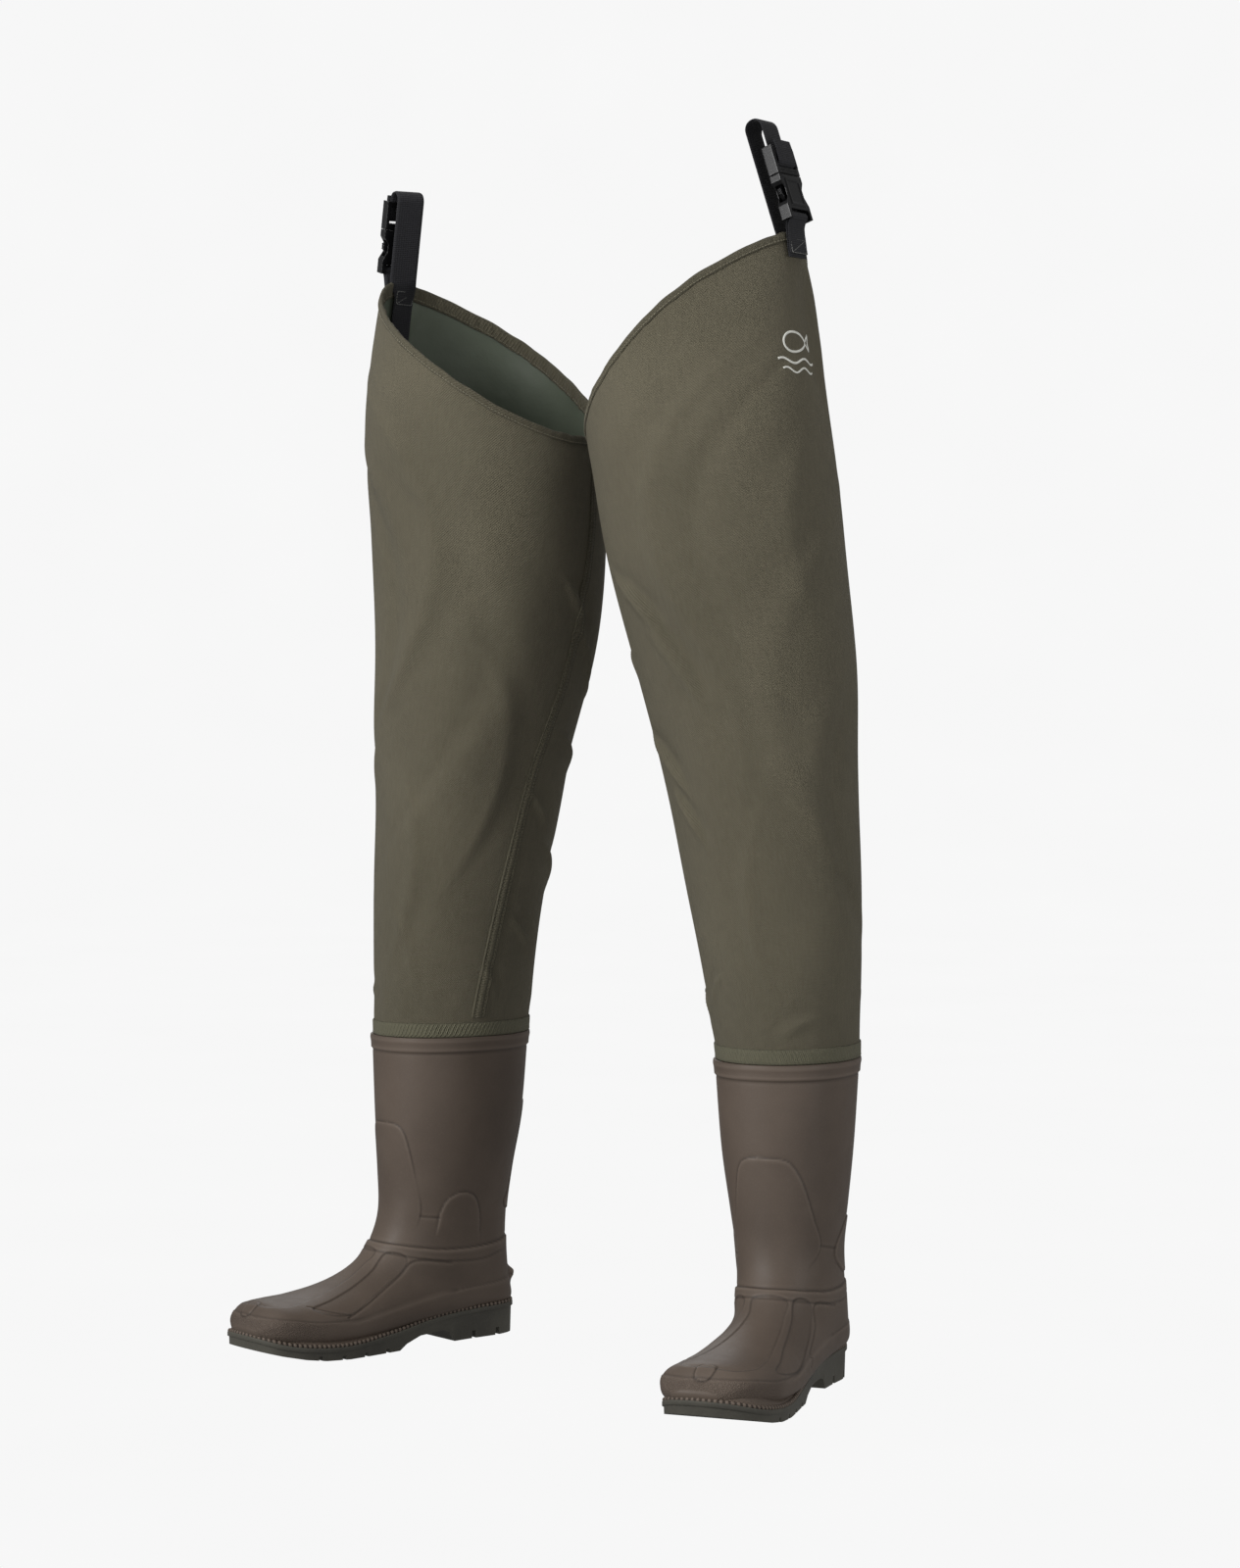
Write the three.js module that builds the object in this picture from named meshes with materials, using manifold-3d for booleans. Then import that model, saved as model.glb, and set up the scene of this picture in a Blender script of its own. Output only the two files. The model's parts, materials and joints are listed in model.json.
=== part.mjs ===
// A pair of hip waders: moulded PVC boots, welded fabric legs cut high at the
// outside of the thigh, and a webbing belt strap with a side-release buckle on
// each peak. Millimetres, +Z up, the wearer faces -Y and the left leg is at +X.
import * as THREE from "three";
import Module from "manifold-3d";
import { LoftGeometry } from "three/addons/geometries/LoftGeometry.js";
import { mergeVertices } from "three/addons/utils/BufferGeometryUtils.js";

const wasm = await Module();
wasm.setup();

// ---- driving dimensions ----------------------------------------------------
const GAP = 0.3;
const RING_POINTS = 28;

const boot = {
  x: 178.5,            // middle of the cuff, from the middle of the pair
  y: 33,
  splay: 14.6,         // degrees that the toe turns out
  cuffHeight: 269,
  wall: 3,
  liningWall: 1,
  insole: 4,
};

const fabric = { wall: 1.5, tuck: 15 };
const knee = { height: 505, reach: 75 };
// The top opening is a plane through this point; it drops towards the inside.
const openings = {
  left: { middleX: 101, middleHeight: 849, slope: 41 },
  right: { middleX: 99, middleHeight: 846, slope: 36 },
};
const webbing = { width: 25, thickness: 1.6, tabLength: 20, anchorLength: 55 };
const buckle = { width: 33, back: 2.8, front: 12.8 };

// Each belt strap leans in over the leg, turns back a little, and is adjusted
// to its own length.
const straps = {
  left: { lean: -19, turn: 2, loopTop: 90 },
  right: { lean: -14, turn: 26, loopTop: 72 },
};

// ---- materials ---------------------------------------------------------------
function finish(color, roughness) {
  return new THREE.MeshStandardMaterial({ color, roughness, metalness: 0 });
}
const bootBrown = finish(0x50463e, 0.55);
const soleGreen = finish(0x42423c, 0.7);
const oliveCloth = finish(0x5c5644, 0.8);
const blackWebbing = finish(0x17171a, 0.85);
const blackPlastic = finish(0x121214, 0.35);
const liningGrey = finish(0x5a5a58, 0.95);

// ---- solids ------------------------------------------------------------------
const degrees = THREE.MathUtils.degToRad;

function bare(geometry) {
  const copy = new THREE.BufferGeometry().copy(geometry);
  copy.deleteAttribute("normal");
  copy.deleteAttribute("uv");
  return mergeVertices(copy, 1e-4);
}

function toManifold(geometry) {
  const merged = bare(geometry);
  return new wasm.Manifold(new wasm.Mesh({
    numProp: 3,
    vertProperties: new Float32Array(merged.attributes.position.array),
    triVerts: new Uint32Array(merged.index.array),
  }));
}

function toGeometry(manifold) {
  const mesh = manifold.getMesh();
  const geometry = new THREE.BufferGeometry();
  geometry.setAttribute("position", new THREE.BufferAttribute(mesh.vertProperties, 3));
  geometry.setIndex(new THREE.BufferAttribute(mesh.triVerts, 1));
  return geometry;
}

function cut(geometry, ...tools) {
  return toGeometry(tools.reduce((body, tool) => body.subtract(toManifold(tool)), toManifold(geometry)));
}

function join(geometry, ...others) {
  return toGeometry(others.reduce((body, other) => body.add(toManifold(other)), toManifold(geometry)));
}

function overlap(a, b) {
  return toGeometry(toManifold(a).intersect(toManifold(b)));
}

// The same solid on the other side of the middle plane.
function mirrored(geometry) {
  const copy = bare(geometry);
  copy.scale(-1, 1, 1);
  const index = copy.index.array;
  for (let i = 0; i < index.length; i += 3) {
    [index[i], index[i + 1]] = [index[i + 1], index[i]];
  }
  return copy;
}

// A wall between an outer and an inner stack of rings, both given bottom to top.
function wall(outer, inner) {
  return new LoftGeometry([...outer, ...inner.toReversed(), outer[0]]);
}

function box(x0, x1, y0, y1, z0, z1) {
  const geometry = new THREE.BoxGeometry(x1 - x0, y1 - y0, z1 - z0);
  return geometry.translate((x0 + x1) / 2, (y0 + y1) / 2, (z0 + z1) / 2);
}

// An outline in the Y-Z plane, given thickness along X from x0 to x1.
function sideways(shape, x0, x1) {
  const depth = x1 - x0;
  const geometry = new THREE.ExtrudeGeometry(shape, { depth, bevelEnabled: false, curveSegments: 6 });
  const yzPlane = new THREE.Matrix4().makeBasis(
    new THREE.Vector3(0, 1, 0), new THREE.Vector3(0, 0, 1), new THREE.Vector3(1, 0, 0),
  );
  return geometry.applyMatrix4(yzPlane).translate(x0, 0, 0);
}

function outline(points) {
  return new THREE.Shape(points.map(([a, b]) => new THREE.Vector2(a, b)));
}

// Smooth values between stations: each row is [position, ...values].
function between(stations) {
  const positions = stations.map((row) => row[0]);
  const values = stations.flatMap((row) => row.slice(1));
  const curve = new THREE.CubicInterpolant(positions, values, stations[0].length - 1);
  return (at) => Array.from(curve.evaluate(at));
}

// ---- boot --------------------------------------------------------------------
// Boot frame: the cuff's axis is at x = y = 0, the toe points along -Y and the
// outside of the foot is at +X.
const HEEL_BACK = 60;
const TOE_FRONT = -220;

// The upper is lofted through sections that fan from the level cuff to the
// upright toe. Each row: section number, front point (y, z), back point (y, z),
// half width, shift to the outside, and how square the back half is.
const upperSections = between([
  [0, -73, boot.cuffHeight, 73, boot.cuffHeight, 57, 0, 2],
  [1, -71, 200, 68, 200, 52, 1, 2],
  [2, -68, 150, 60, 150, 46, 3, 2],
  [3, -68, 120, 55, 112, 41, 4, 2.1],
  [4, -73, 99, 55, 78, 40, 6, 2.2],
  [5, -83, 83, 56, 48, 39, 7, 2.6],
  [6, -96, 72, 55, 28, 36, 8, 3.4],
  [7, -114, 63, 20, 26, 36, 8, 4],
  [8, -137, 56, -35, 22, 39, 7, 4],
  [9, -162, 52, -95, 14, 43, 7, 4],
  [10, -184, 51, -148, 12, 43, 6, 4],
  [11, -201, 50, -188, 16, 38, 3, 3.4],
  [12, -212, 43, -207, 21, 30, 1, 3],
  [13, -217, 33, -215, 25, 19, 0, 2.4],
]);
const LAST_UPPER_SECTION = 13;

function upperRing(section, inset) {
  const [frontY, frontZ, backY, backZ, halfWidth, shift, square] = upperSections(section);
  const middle = new THREE.Vector2((frontY + backY) / 2, (frontZ + backZ) / 2);
  const half = new THREE.Vector2((frontY - backY) / 2, (frontZ - backZ) / 2);
  half.setLength(half.length() - inset);
  return Array.from({ length: RING_POINTS }, (_, i) => {
    const angle = (2 * Math.PI * i) / RING_POINTS;
    const along = Math.cos(angle);
    const power = 2 / (along < 0 ? square : 2.2);
    const reach = Math.sign(along) * Math.abs(along) ** power;
    const side = Math.sign(Math.sin(angle)) * Math.abs(Math.sin(angle)) ** power;
    return new THREE.Vector3(
      shift + side * (halfWidth - inset),
      middle.x + half.x * reach,
      middle.y + half.y * reach,
    );
  });
}

function upperSolid(inset, sections, lift = 0) {
  const rings = sections.map((section) => upperRing(section, inset)).toReversed();
  if (lift > 0) {
    rings.push(rings.at(-1).map((p) => p.clone().setZ(p.z + lift)));
  }
  return new LoftGeometry(rings, { capStart: true, capEnd: true });
}

const shaftSteps = [0, 0.5, 1, 1.5, 2, 2.5, 3, 3.5, 4, 4.5, 5, 5.5];
const footSteps = [6, 7, 8, 9, 10, 11, 12];
const upperSteps = [...shaftSteps, ...footSteps, LAST_UPPER_SECTION];
const BELOW_RIM = 0.22;
const liningSteps = [3, 2, 1, BELOW_RIM];
const cavitySteps = [0, BELOW_RIM, 1, 2, 3, 4, 5, ...footSteps];

// A raised band runs round the top of the shaft.
const cuff = { height: 15, proud: 1.4 };

function cuffBand() {
  const heights = [boot.cuffHeight - cuff.height, boot.cuffHeight];
  const ring = (z) => upperRing(0, -cuff.proud).map((p) => p.setZ(z));
  return new LoftGeometry(heights.map(ring), { capStart: true, capEnd: true });
}

// A short spur stands out behind the heel, to push against when pulling the boot off.
function heelSpur() {
  const spur = new THREE.Shape();
  spur.moveTo(50, 38);
  spur.lineTo(61, 44);
  spur.lineTo(66, 52);
  spur.lineTo(61, 57);
  spur.lineTo(50, 60);
  return sideways(spur, -7, 19);
}

// The upper is two pieces: the vamp over the foot, and the shaft with the heel
// counter. They meet on a plane that falls from the instep to the back of the heel.
const instep = { y: -92, z: 75 };
const counterFoot = { y: 55, z: 33 };

function makeBootUpper() {
  const outside = join(upperSolid(0, upperSteps), cuffBand(), heelSpur());
  const cavity = upperSolid(boot.wall, cavitySteps, 2 * boot.wall);
  const shell = toManifold(cut(cut(outside, cavity), soleBlock(GAP)));
  const up = [0, instep.z - counterFoot.z, counterFoot.y - instep.y];
  const length = Math.hypot(...up);
  const level = (up[1] * instep.y + up[2] * instep.z) / length;
  return {
    shaft: toGeometry(shell.trimByPlane(up, level + GAP / 2)),
    vamp: toGeometry(shell.trimByPlane(up.map((v) => -v), GAP / 2 - level)),
  };
}

// Side profile of the footbed: the top of the outsole, toe to heel.
const footbed = between([
  [TOE_FRONT - 1, 26],
  [-200, 19],
  [-180, 15],
  [-137, 11.8],
  [-87, 16.5],
  [-38, 23.4],
  [0, 26],
  [HEEL_BACK + 1, 27.5],
]);

function footbedLine(lift) {
  const steps = 14;
  return Array.from({ length: steps + 1 }, (_, i) => {
    const y = THREE.MathUtils.lerp(TOE_FRONT - 1, HEEL_BACK + 1, i / steps);
    return [y, footbed(y)[0] + lift];
  });
}

// Plan outline of the outsole, round the toe and back along the outside.
function solePlan() {
  const edge = [
    [6, HEEL_BACK], [28, 54], [39, 34], [39, 0], [40, -45], [46, -95], [51, -135], [52, -168],
    [46, -197], [29, -215], [-1, TOE_FRONT], [-26, -212], [-36, -190], [-40, -160], [-39, -125],
    [-35, -85], [-29, -40], [-26, 0], [-25, 34], [-16, 54],
  ];
  const corners = edge.map(([x, y]) => new THREE.Vector3(x, y, 0));
  const curve = new THREE.CatmullRomCurve3(corners, true, "centripetal");
  return new THREE.Shape(curve.getPoints(44).slice(0, -1).map((p) => new THREE.Vector2(p.x, p.y)));
}

const HEEL_FRONT = -16;
const TREAD_END = -80;
const ARCH_RISE = 11;

// Everything under the footbed, with the heel block, arch and toe spring.
function soleBlock(lift) {
  const bottom = [
    [HEEL_BACK + 1, 0], [HEEL_FRONT, 0],
    [HEEL_FRONT - 6, ARCH_RISE - 2], [HEEL_FRONT - 14, ARCH_RISE],
    [TREAD_END + 24, ARCH_RISE - 1], [TREAD_END + 8, ARCH_RISE / 2], [TREAD_END, 0],
    [-135, 0], [-160, 1.5], [-180, 4.5], [-200, 9], [TOE_FRONT - 1, 15],
  ];
  const profile = outline([...bottom, ...footbedLine(lift)]);
  const block = new THREE.ExtrudeGeometry(solePlan(), { depth: 40, bevelEnabled: false });
  return overlap(block.translate(0, 0, -2), sideways(profile, -70, 70));
}

// Shallow grooves cross the bottom of the heel and the forefoot.
function makeOutsole() {
  const grooveWidth = 5;
  const grooveDepth = 3.5;
  const heelGrooves = [6, 32];
  const forefootGrooves = [-94, -118, -142];
  const grooves = [...heelGrooves, ...forefootGrooves].map((y) =>
    box(-70, 70, y - grooveWidth / 2, y + grooveWidth / 2, -1, grooveDepth));
  return cut(soleBlock(0), ...grooves);
}

function makeInsole() {
  const lowest = boot.wall + GAP;
  const slab = sideways(outline([
    ...footbedLine(lowest).map(([y, z]) => [y, z]),
    ...footbedLine(lowest + boot.insole).toReversed(),
  ]), -70, 70);
  const inside = upperSolid(boot.wall + GAP, cavitySteps);
  return overlap(inside, slab);
}

// A knitted sock lines the shaft above the foot.
function makeBootLining() {
  const outer = liningSteps.map((section) => upperRing(section, boot.wall + GAP));
  const inner = liningSteps.map((section) => upperRing(section, boot.wall + GAP + boot.liningWall));
  return wall(outer, inner);
}

// ---- leg ---------------------------------------------------------------------
// Level sections of the leg. Each row: height, middle (x, y), half width, half
// depth, the angle that the section turns out, and how much its outer side
// narrows towards the peak that hangs from the strap.
const legSections = between([
  [250, boot.x, boot.y, 57, 73, boot.splay, 0],
  [272, boot.x, boot.y, 57, 73, boot.splay, 0],
  [300, 176.5, 32, 59.5, 74, 14.2, 0],
  [400, 167, 31, 70, 79, 11, 0],
  [500, 154, 30, 80, 86, 7, 0],
  [600, 137, 29, 93, 96, 4, 0],
  [700, 124, 18, 102, 99, 2, 0.02],
  [800, 118, 2, 105, 95, 0, 0.05],
  [880, 112, -1, 103, 94, 0, 0.2],
  [960, 104, -3, 98, 92, 0, 0.45],
]);

// A point on the leg; the angle runs from the front round the outside.
function legPoint(height, angle, out) {
  const [x, y, halfWidth, halfDepth, turn, pinch] = legSections(height);
  const across = Math.sin(angle) * (halfWidth + out);
  const narrowed = 1 - pinch * Math.max(0, Math.sin(angle)) ** 2;
  const ahead = -Math.cos(angle) * (halfDepth * narrowed + out);
  const yaw = degrees(turn);
  return new THREE.Vector3(
    x + across * Math.cos(yaw) - ahead * Math.sin(yaw),
    y + across * Math.sin(yaw) + ahead * Math.cos(yaw),
    height,
  );
}

const legAngles = Array.from({ length: RING_POINTS }, (_, i) => (2 * Math.PI * i) / RING_POINTS);

function legRing(height, out) {
  return legAngles.map((angle) => legPoint(height, angle, out));
}

// The opening is a plane that drops from the outside of the thigh to the inside.
function rimHeight(rim, angle) {
  let height = rim.middleHeight;
  for (let i = 0; i < 12; i += 1) {
    const { x } = legPoint(height, angle, 0);
    height = rim.middleHeight + (x - rim.middleX) * Math.tan(degrees(rim.slope));
  }
  return height;
}

const KNEE_BOTTOM = knee.height - knee.reach;
const KNEE_TOP = knee.height + knee.reach;

// A ring part of the way from the top of the knee up to the rim.
function risingRing(rim, part, out) {
  return legAngles.map((angle) => {
    const height = THREE.MathUtils.lerp(KNEE_TOP, rimHeight(rim, angle), part);
    return legPoint(height, angle, out);
  });
}

function levelWall(heights, outside, inside) {
  return wall(heights.map((z) => legRing(z, outside)), heights.map((z) => legRing(z, inside)));
}

// The foot of the leg is tucked into the cuff and welded there.
function makeLegLower() {
  const tucked = -(boot.wall + GAP + boot.liningWall + GAP);
  const rows = [
    [boot.cuffHeight - fabric.tuck, tucked], [boot.cuffHeight + 0.5, tucked],
    [boot.cuffHeight + 2, -0.4], [300, 0], [345, 0], [390, 0], [KNEE_BOTTOM, 0],
  ];
  return wall(
    rows.map(([z, out]) => legRing(z, out)),
    rows.map(([z, out]) => legRing(z, out - fabric.wall)),
  );
}

function makeLegKnee() {
  const heights = [KNEE_BOTTOM + GAP, 468, knee.height, 542, KNEE_TOP - GAP];
  return levelWall(heights, 0, -fabric.wall);
}

function makeLegUpper(rim) {
  const parts = [0, 0.2, 0.4, 0.6, 0.8, 1];
  return wall(
    parts.map((part) => risingRing(rim, part, 0)),
    parts.map((part) => risingRing(rim, part, -fabric.wall)),
  );
}

// A welded tape covers the line where the cloth leaves the boot.
function makeWeldBand() {
  return levelWall([boot.cuffHeight + 3, boot.cuffHeight + 16], GAP + 1, GAP);
}

// The hem is folded over the edge and sewn down inside.
const hem = { depth: 12, thickness: 1.2 };

function makeHem(rim) {
  const outer = -(fabric.wall + 3 * GAP);
  const inner = outer - hem.thickness;
  const top = GAP + hem.thickness;
  const lip = 0.4;
  const profile = [
    [inner, -hem.depth], [outer, -hem.depth], [outer, GAP], [lip, GAP], [lip, top], [inner, top],
  ];
  const sections = [...legAngles, 0].map((angle) => {
    const edge = rimHeight(rim, angle);
    return profile.map(([out, up]) => legPoint(edge + up, angle, out));
  });
  return new LoftGeometry(sections.toReversed());
}

// The inseam climbs the inside of the leg and drifts towards the back.
const inseam = { bottom: 288, top: 748, lowAngle: -78, highAngle: -104, halfWidth: 5, thickness: 1 };

function inseamAngle(height) {
  const part = (height - boot.cuffHeight) / (inseam.top - boot.cuffHeight);
  return degrees(THREE.MathUtils.lerp(inseam.lowAngle, inseam.highAngle, part));
}

function makeInseam(low, high, steps) {
  const sections = Array.from({ length: steps + 1 }, (_, i) => {
    const height = THREE.MathUtils.lerp(low, high, i / steps);
    const middle = inseamAngle(height);
    const spread = inseam.halfWidth / legSections(height)[3];
    const corners = [[-1, 0], [1, 0], [1, 1], [-1, 1]];
    return corners.map(([side, out]) =>
      legPoint(height, middle + side * spread, 2 * GAP + out * inseam.thickness));
  });
  const rings = sections.map((section) => section.toReversed());
  return new LoftGeometry(rings, { capStart: true, capEnd: true });
}

// ---- belt strap --------------------------------------------------------------
// Strap frame: the peak of the rim is at the origin, +X points outwards, +Z up
// along the strap, and the webbing's width lies along Y.
function ribbon(points, width = webbing.width) {
  const path = points.map(([x, z]) => new THREE.Vector2(x, z));
  const normal = path.map((_, i) => {
    const step = path[Math.min(i + 1, path.length - 1)].clone().sub(path[Math.max(i - 1, 0)]).normalize();
    return new THREE.Vector2(-step.y, step.x).multiplyScalar(webbing.thickness / 2);
  });
  const edge = [
    ...path.map((p, i) => p.clone().add(normal[i])),
    ...path.map((p, i) => p.clone().sub(normal[i])).toReversed(),
  ];
  const geometry = new THREE.ExtrudeGeometry(new THREE.Shape(edge), { depth: width, bevelEnabled: false });
  return geometry.rotateX(Math.PI / 2).translate(0, width / 2, 0);
}

const STRAND = -8.2;         // where the inner strand hangs, behind the cloth and hem
const OUTER_STRAND = 7.4;    // where the outer strand enters the plug half's frame

function arc(x, z, radius, from, to, steps) {
  return Array.from({ length: steps + 1 }, (_, i) => {
    const angle = degrees(THREE.MathUtils.lerp(from, to, i / steps));
    return [x + radius * Math.cos(angle), z + radius * Math.sin(angle)];
  });
}

function makeStrapAnchor() {
  return ribbon([[STRAND, -webbing.anchorLength], [STRAND, -1]]);
}

function makeStrapTab() {
  const face = GAP + webbing.thickness / 2;
  return ribbon([[face, -webbing.tabLength], [face, -0.6]]);
}

function makeStrapLoop(top) {
  const radius = (OUTER_STRAND - STRAND) / 2;
  return ribbon([
    [STRAND, 5.5],
    ...arc(STRAND + radius, top, radius, 180, 0, 8),
    [OUTER_STRAND, 66], [6.9, 61],
    ...arc(10.5, 57.5, 3.5, 190, 350, 5),
    [14.2, 61], [14.4, 76],
  ]);
}

// The keeper is the short doubled webbing that holds the buckle's lower bar.
const BAR = { x: 7.8, z: 11.5, radius: 1.8 };

function makeKeeper() {
  const radius = BAR.radius + GAP + webbing.thickness / 2;
  return ribbon([
    [2.6, 3.4],
    [BAR.x - radius + 0.6, BAR.z - 3],
    ...arc(BAR.x, BAR.z, radius, 170, -80, 8),
    [5.2, 5.4],
  ]);
}

const MOUTH = 46;          // where the two halves of the buckle meet
const FEMALE_FOOT = 15.8;
const WAIST = 12.6;
const WEBBING_SLOT = 13.2; // half the width of each slot that webbing passes through

// Receiving half: a flat socket with a waist and an open window on each side.
function makeBuckleFemale() {
  const half = buckle.width / 2;
  const foot = BAR.z - 3.5;
  const side = [[half, foot], [half, 20], [WAIST, 27], [WAIST, 34], [half, 40], [half, MOUTH]];
  const otherSide = side.map(([y, z]) => [-y, z]).toReversed();
  const shell = sideways(outline([...side, ...otherSide]), buckle.back, buckle.front);
  const socket = box(5, 10.6, -WEBBING_SLOT, WEBBING_SLOT, FEMALE_FOOT + 4, MOUTH + 1);
  const windows = [box(4.2, 11.4, 9, 20, 23, 37), box(4.2, 11.4, -20, -9, 23, 37)];
  const barSlot = box(0, 15, -WEBBING_SLOT, WEBBING_SLOT, 0, FEMALE_FOOT);
  const bar = new THREE.CylinderGeometry(BAR.radius, BAR.radius, 2 * half - 4, 10).translate(BAR.x, 0, BAR.z);
  return join(cut(shell, socket, ...windows, barSlot), bar);
}

// Plug half: a frame with a ladder bar for the webbing and a tongue for the socket.
function makeBuckleMale() {
  const half = buckle.width / 2;
  const low = MOUTH + GAP;
  const frame = box(buckle.back, buckle.front, -half, half, low, 71);
  const webbingWindow = box(0, 16, -WEBBING_SLOT, WEBBING_SLOT, 52, 72);
  const topBar = box(buckle.back, 5.6, -half + 1, half - 1, 66, 70.5);
  const ladderBar = box(9.2, 11.8, -half + 1, half - 1, 56.8, 61);
  const tongue = box(6, 9.6, -3.6, 3.6, 24, low + 1);
  return join(cut(frame, webbingWindow), topBar, ladderBar, tongue);
}

// Each sprung prong ends in a shoulder that fills the socket's side window.
function makeProng(side) {
  const shape = outline([
    [8.6, MOUTH - 0.2], [11.4, MOUTH - 0.2], [11.9, 36.5], [15.4, 34], [15.2, 29], [11, 23.6], [8.6, 24.5],
  ].map(([y, z]) => [side * y, z]));
  return sideways(shape, 6, 9.6);
}

// ---- assembly ----------------------------------------------------------------
const waders = new THREE.Group();

function place(parent, name, geometry, material, side) {
  const shape = side < 0 ? mirrored(geometry) : bare(geometry);
  const mesh = new THREE.Mesh(shape, material);
  mesh.name = name;
  parent.add(mesh);
}

const bootUpper = makeBootUpper();

const shapes = {
  boot: {
    outsole: [makeOutsole(), soleGreen],
    boot_shaft: [bootUpper.shaft, bootBrown],
    boot_vamp: [bootUpper.vamp, bootBrown],
    insole: [makeInsole(), liningGrey],
    boot_lining: [makeBootLining(), liningGrey],
  },
  leg: {
    weld_band: [makeWeldBand(), oliveCloth],
    leg_lower: [makeLegLower(), oliveCloth],
    leg_knee: [makeLegKnee(), oliveCloth],
    inseam_lower: [makeInseam(inseam.bottom, KNEE_BOTTOM - GAP, 5), oliveCloth],
    inseam_knee: [makeInseam(KNEE_BOTTOM, KNEE_TOP - GAP, 5), oliveCloth],
    inseam_upper: [makeInseam(KNEE_TOP, inseam.top, 6), oliveCloth],
  },
  sewn: {
    strap_anchor: [makeStrapAnchor(), blackWebbing],
    strap_tab: [makeStrapTab(), blackWebbing],
  },
  strap: {
    buckle_keeper: [makeKeeper(), blackWebbing],
    buckle_female: [makeBuckleFemale(), blackPlastic],
    buckle_male: [makeBuckleMale(), blackPlastic],
    prong_front: [makeProng(-1), blackPlastic],
    prong_rear: [makeProng(1), blackPlastic],
  },
};

const PEAK_ANGLE = Math.PI / 2;

for (const [name, side] of [["left", 1], ["right", -1]]) {
  const addAll = (parent, set) => {
    for (const [piece, [geometry, material]] of Object.entries(set)) {
      place(parent, `${name}_${piece}`, geometry, material, side);
    }
  };
  const rim = openings[name];
  const strap = straps[name];
  addAll(waders, shapes.leg);
  addAll(waders, { leg_upper: [makeLegUpper(rim), oliveCloth], hem: [makeHem(rim), oliveCloth] });

  const bootGroup = new THREE.Group();
  bootGroup.position.set(side * boot.x, boot.y, 0);
  bootGroup.rotation.z = side * degrees(boot.splay);
  addAll(bootGroup, shapes.boot);

  const peak = legPoint(rimHeight(rim, PEAK_ANGLE), PEAK_ANGLE, 0);
  const below = legPoint(peak.z - webbing.tabLength, PEAK_ANGLE, 0);
  const sewnGroup = new THREE.Group();
  sewnGroup.position.set(side * peak.x, peak.y, peak.z);
  sewnGroup.rotation.y = -side * Math.atan2(below.x - peak.x, webbing.tabLength);
  addAll(sewnGroup, shapes.sewn);

  const strapGroup = new THREE.Group();
  strapGroup.position.copy(sewnGroup.position);
  strapGroup.rotation.order = "ZYX";
  strapGroup.rotation.set(0, side * degrees(strap.lean), side * degrees(strap.turn));
  addAll(strapGroup, { strap_loop: [makeStrapLoop(strap.loopTop), blackWebbing], ...shapes.strap });

  waders.add(bootGroup, sewnGroup, strapGroup);
}

// Stand the pair on its origin: the middle of its footprint, at floor level.
const footprint = new THREE.Box3().setFromObject(waders, true);
const centre = footprint.getCenter(new THREE.Vector3());
waders.position.set(-centre.x, -centre.y, -footprint.min.z);

export default waders;
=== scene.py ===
"""A pair of hip waders: moulded boots, coated-cloth legs and webbing belt straps.

The boots, legs and straps are built in millimetres in the model's own frame, +Z up,
toes along -Y and the left leg at +X, and are turned into metres when a mesh is made.
"""
import json
import math

import bmesh
import bpy
import numpy as np
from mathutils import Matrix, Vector


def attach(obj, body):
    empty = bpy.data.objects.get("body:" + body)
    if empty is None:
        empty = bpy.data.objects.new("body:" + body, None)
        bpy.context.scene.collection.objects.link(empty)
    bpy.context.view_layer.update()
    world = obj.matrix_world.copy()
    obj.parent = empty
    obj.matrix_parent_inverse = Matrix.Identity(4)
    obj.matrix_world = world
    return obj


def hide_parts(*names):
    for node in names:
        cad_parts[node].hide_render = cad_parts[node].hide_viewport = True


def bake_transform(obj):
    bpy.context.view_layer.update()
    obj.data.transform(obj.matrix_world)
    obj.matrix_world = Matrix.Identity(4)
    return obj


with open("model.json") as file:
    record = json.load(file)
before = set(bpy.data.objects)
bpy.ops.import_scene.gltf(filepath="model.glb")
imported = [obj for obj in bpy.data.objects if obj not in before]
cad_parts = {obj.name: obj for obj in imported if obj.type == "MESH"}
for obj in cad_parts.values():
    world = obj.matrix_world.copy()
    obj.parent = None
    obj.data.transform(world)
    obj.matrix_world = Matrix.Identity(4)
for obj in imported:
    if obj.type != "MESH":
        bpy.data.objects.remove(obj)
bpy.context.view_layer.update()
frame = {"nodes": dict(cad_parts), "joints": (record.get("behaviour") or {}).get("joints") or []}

MM = 0.001
SIDES = {"left": 1, "right": -1}
TURN = 2 * np.pi
JOINTS = {joint["name"]: joint for joint in frame["joints"]}

# ---- sizes in mm, shared with the CAD model -------------------------------------
LEG_MIDDLE_Y = 30
SHIFT_Y = JOINTS["left_knee_bend"]["pos_m"][1] / MM - LEG_MIDDLE_Y
KNEE = JOINTS["left_knee_bend"]["pos_m"][2] / MM
KNEE_REACH = 75
BOOT_X = 178.5
BOOT_Y = 33
SPLAY = math.radians(14.6)
CUFF = 269
CUFF_BAND = 12
SPUR_HEIGHT = 52
BOOT_WALL = 3
CLOTH_WALL = 1.2
# The rim of each leg: x and height of its middle, slope in degrees.
RIMS = {"left": (101, 849, 41), "right": (99, 846, 36)}
WEBBING_WIDTH = 25
WEBBING_HALF = 0.8
STITCH_PITCH = 3.1
STITCH_LENGTH = 2.5


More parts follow.
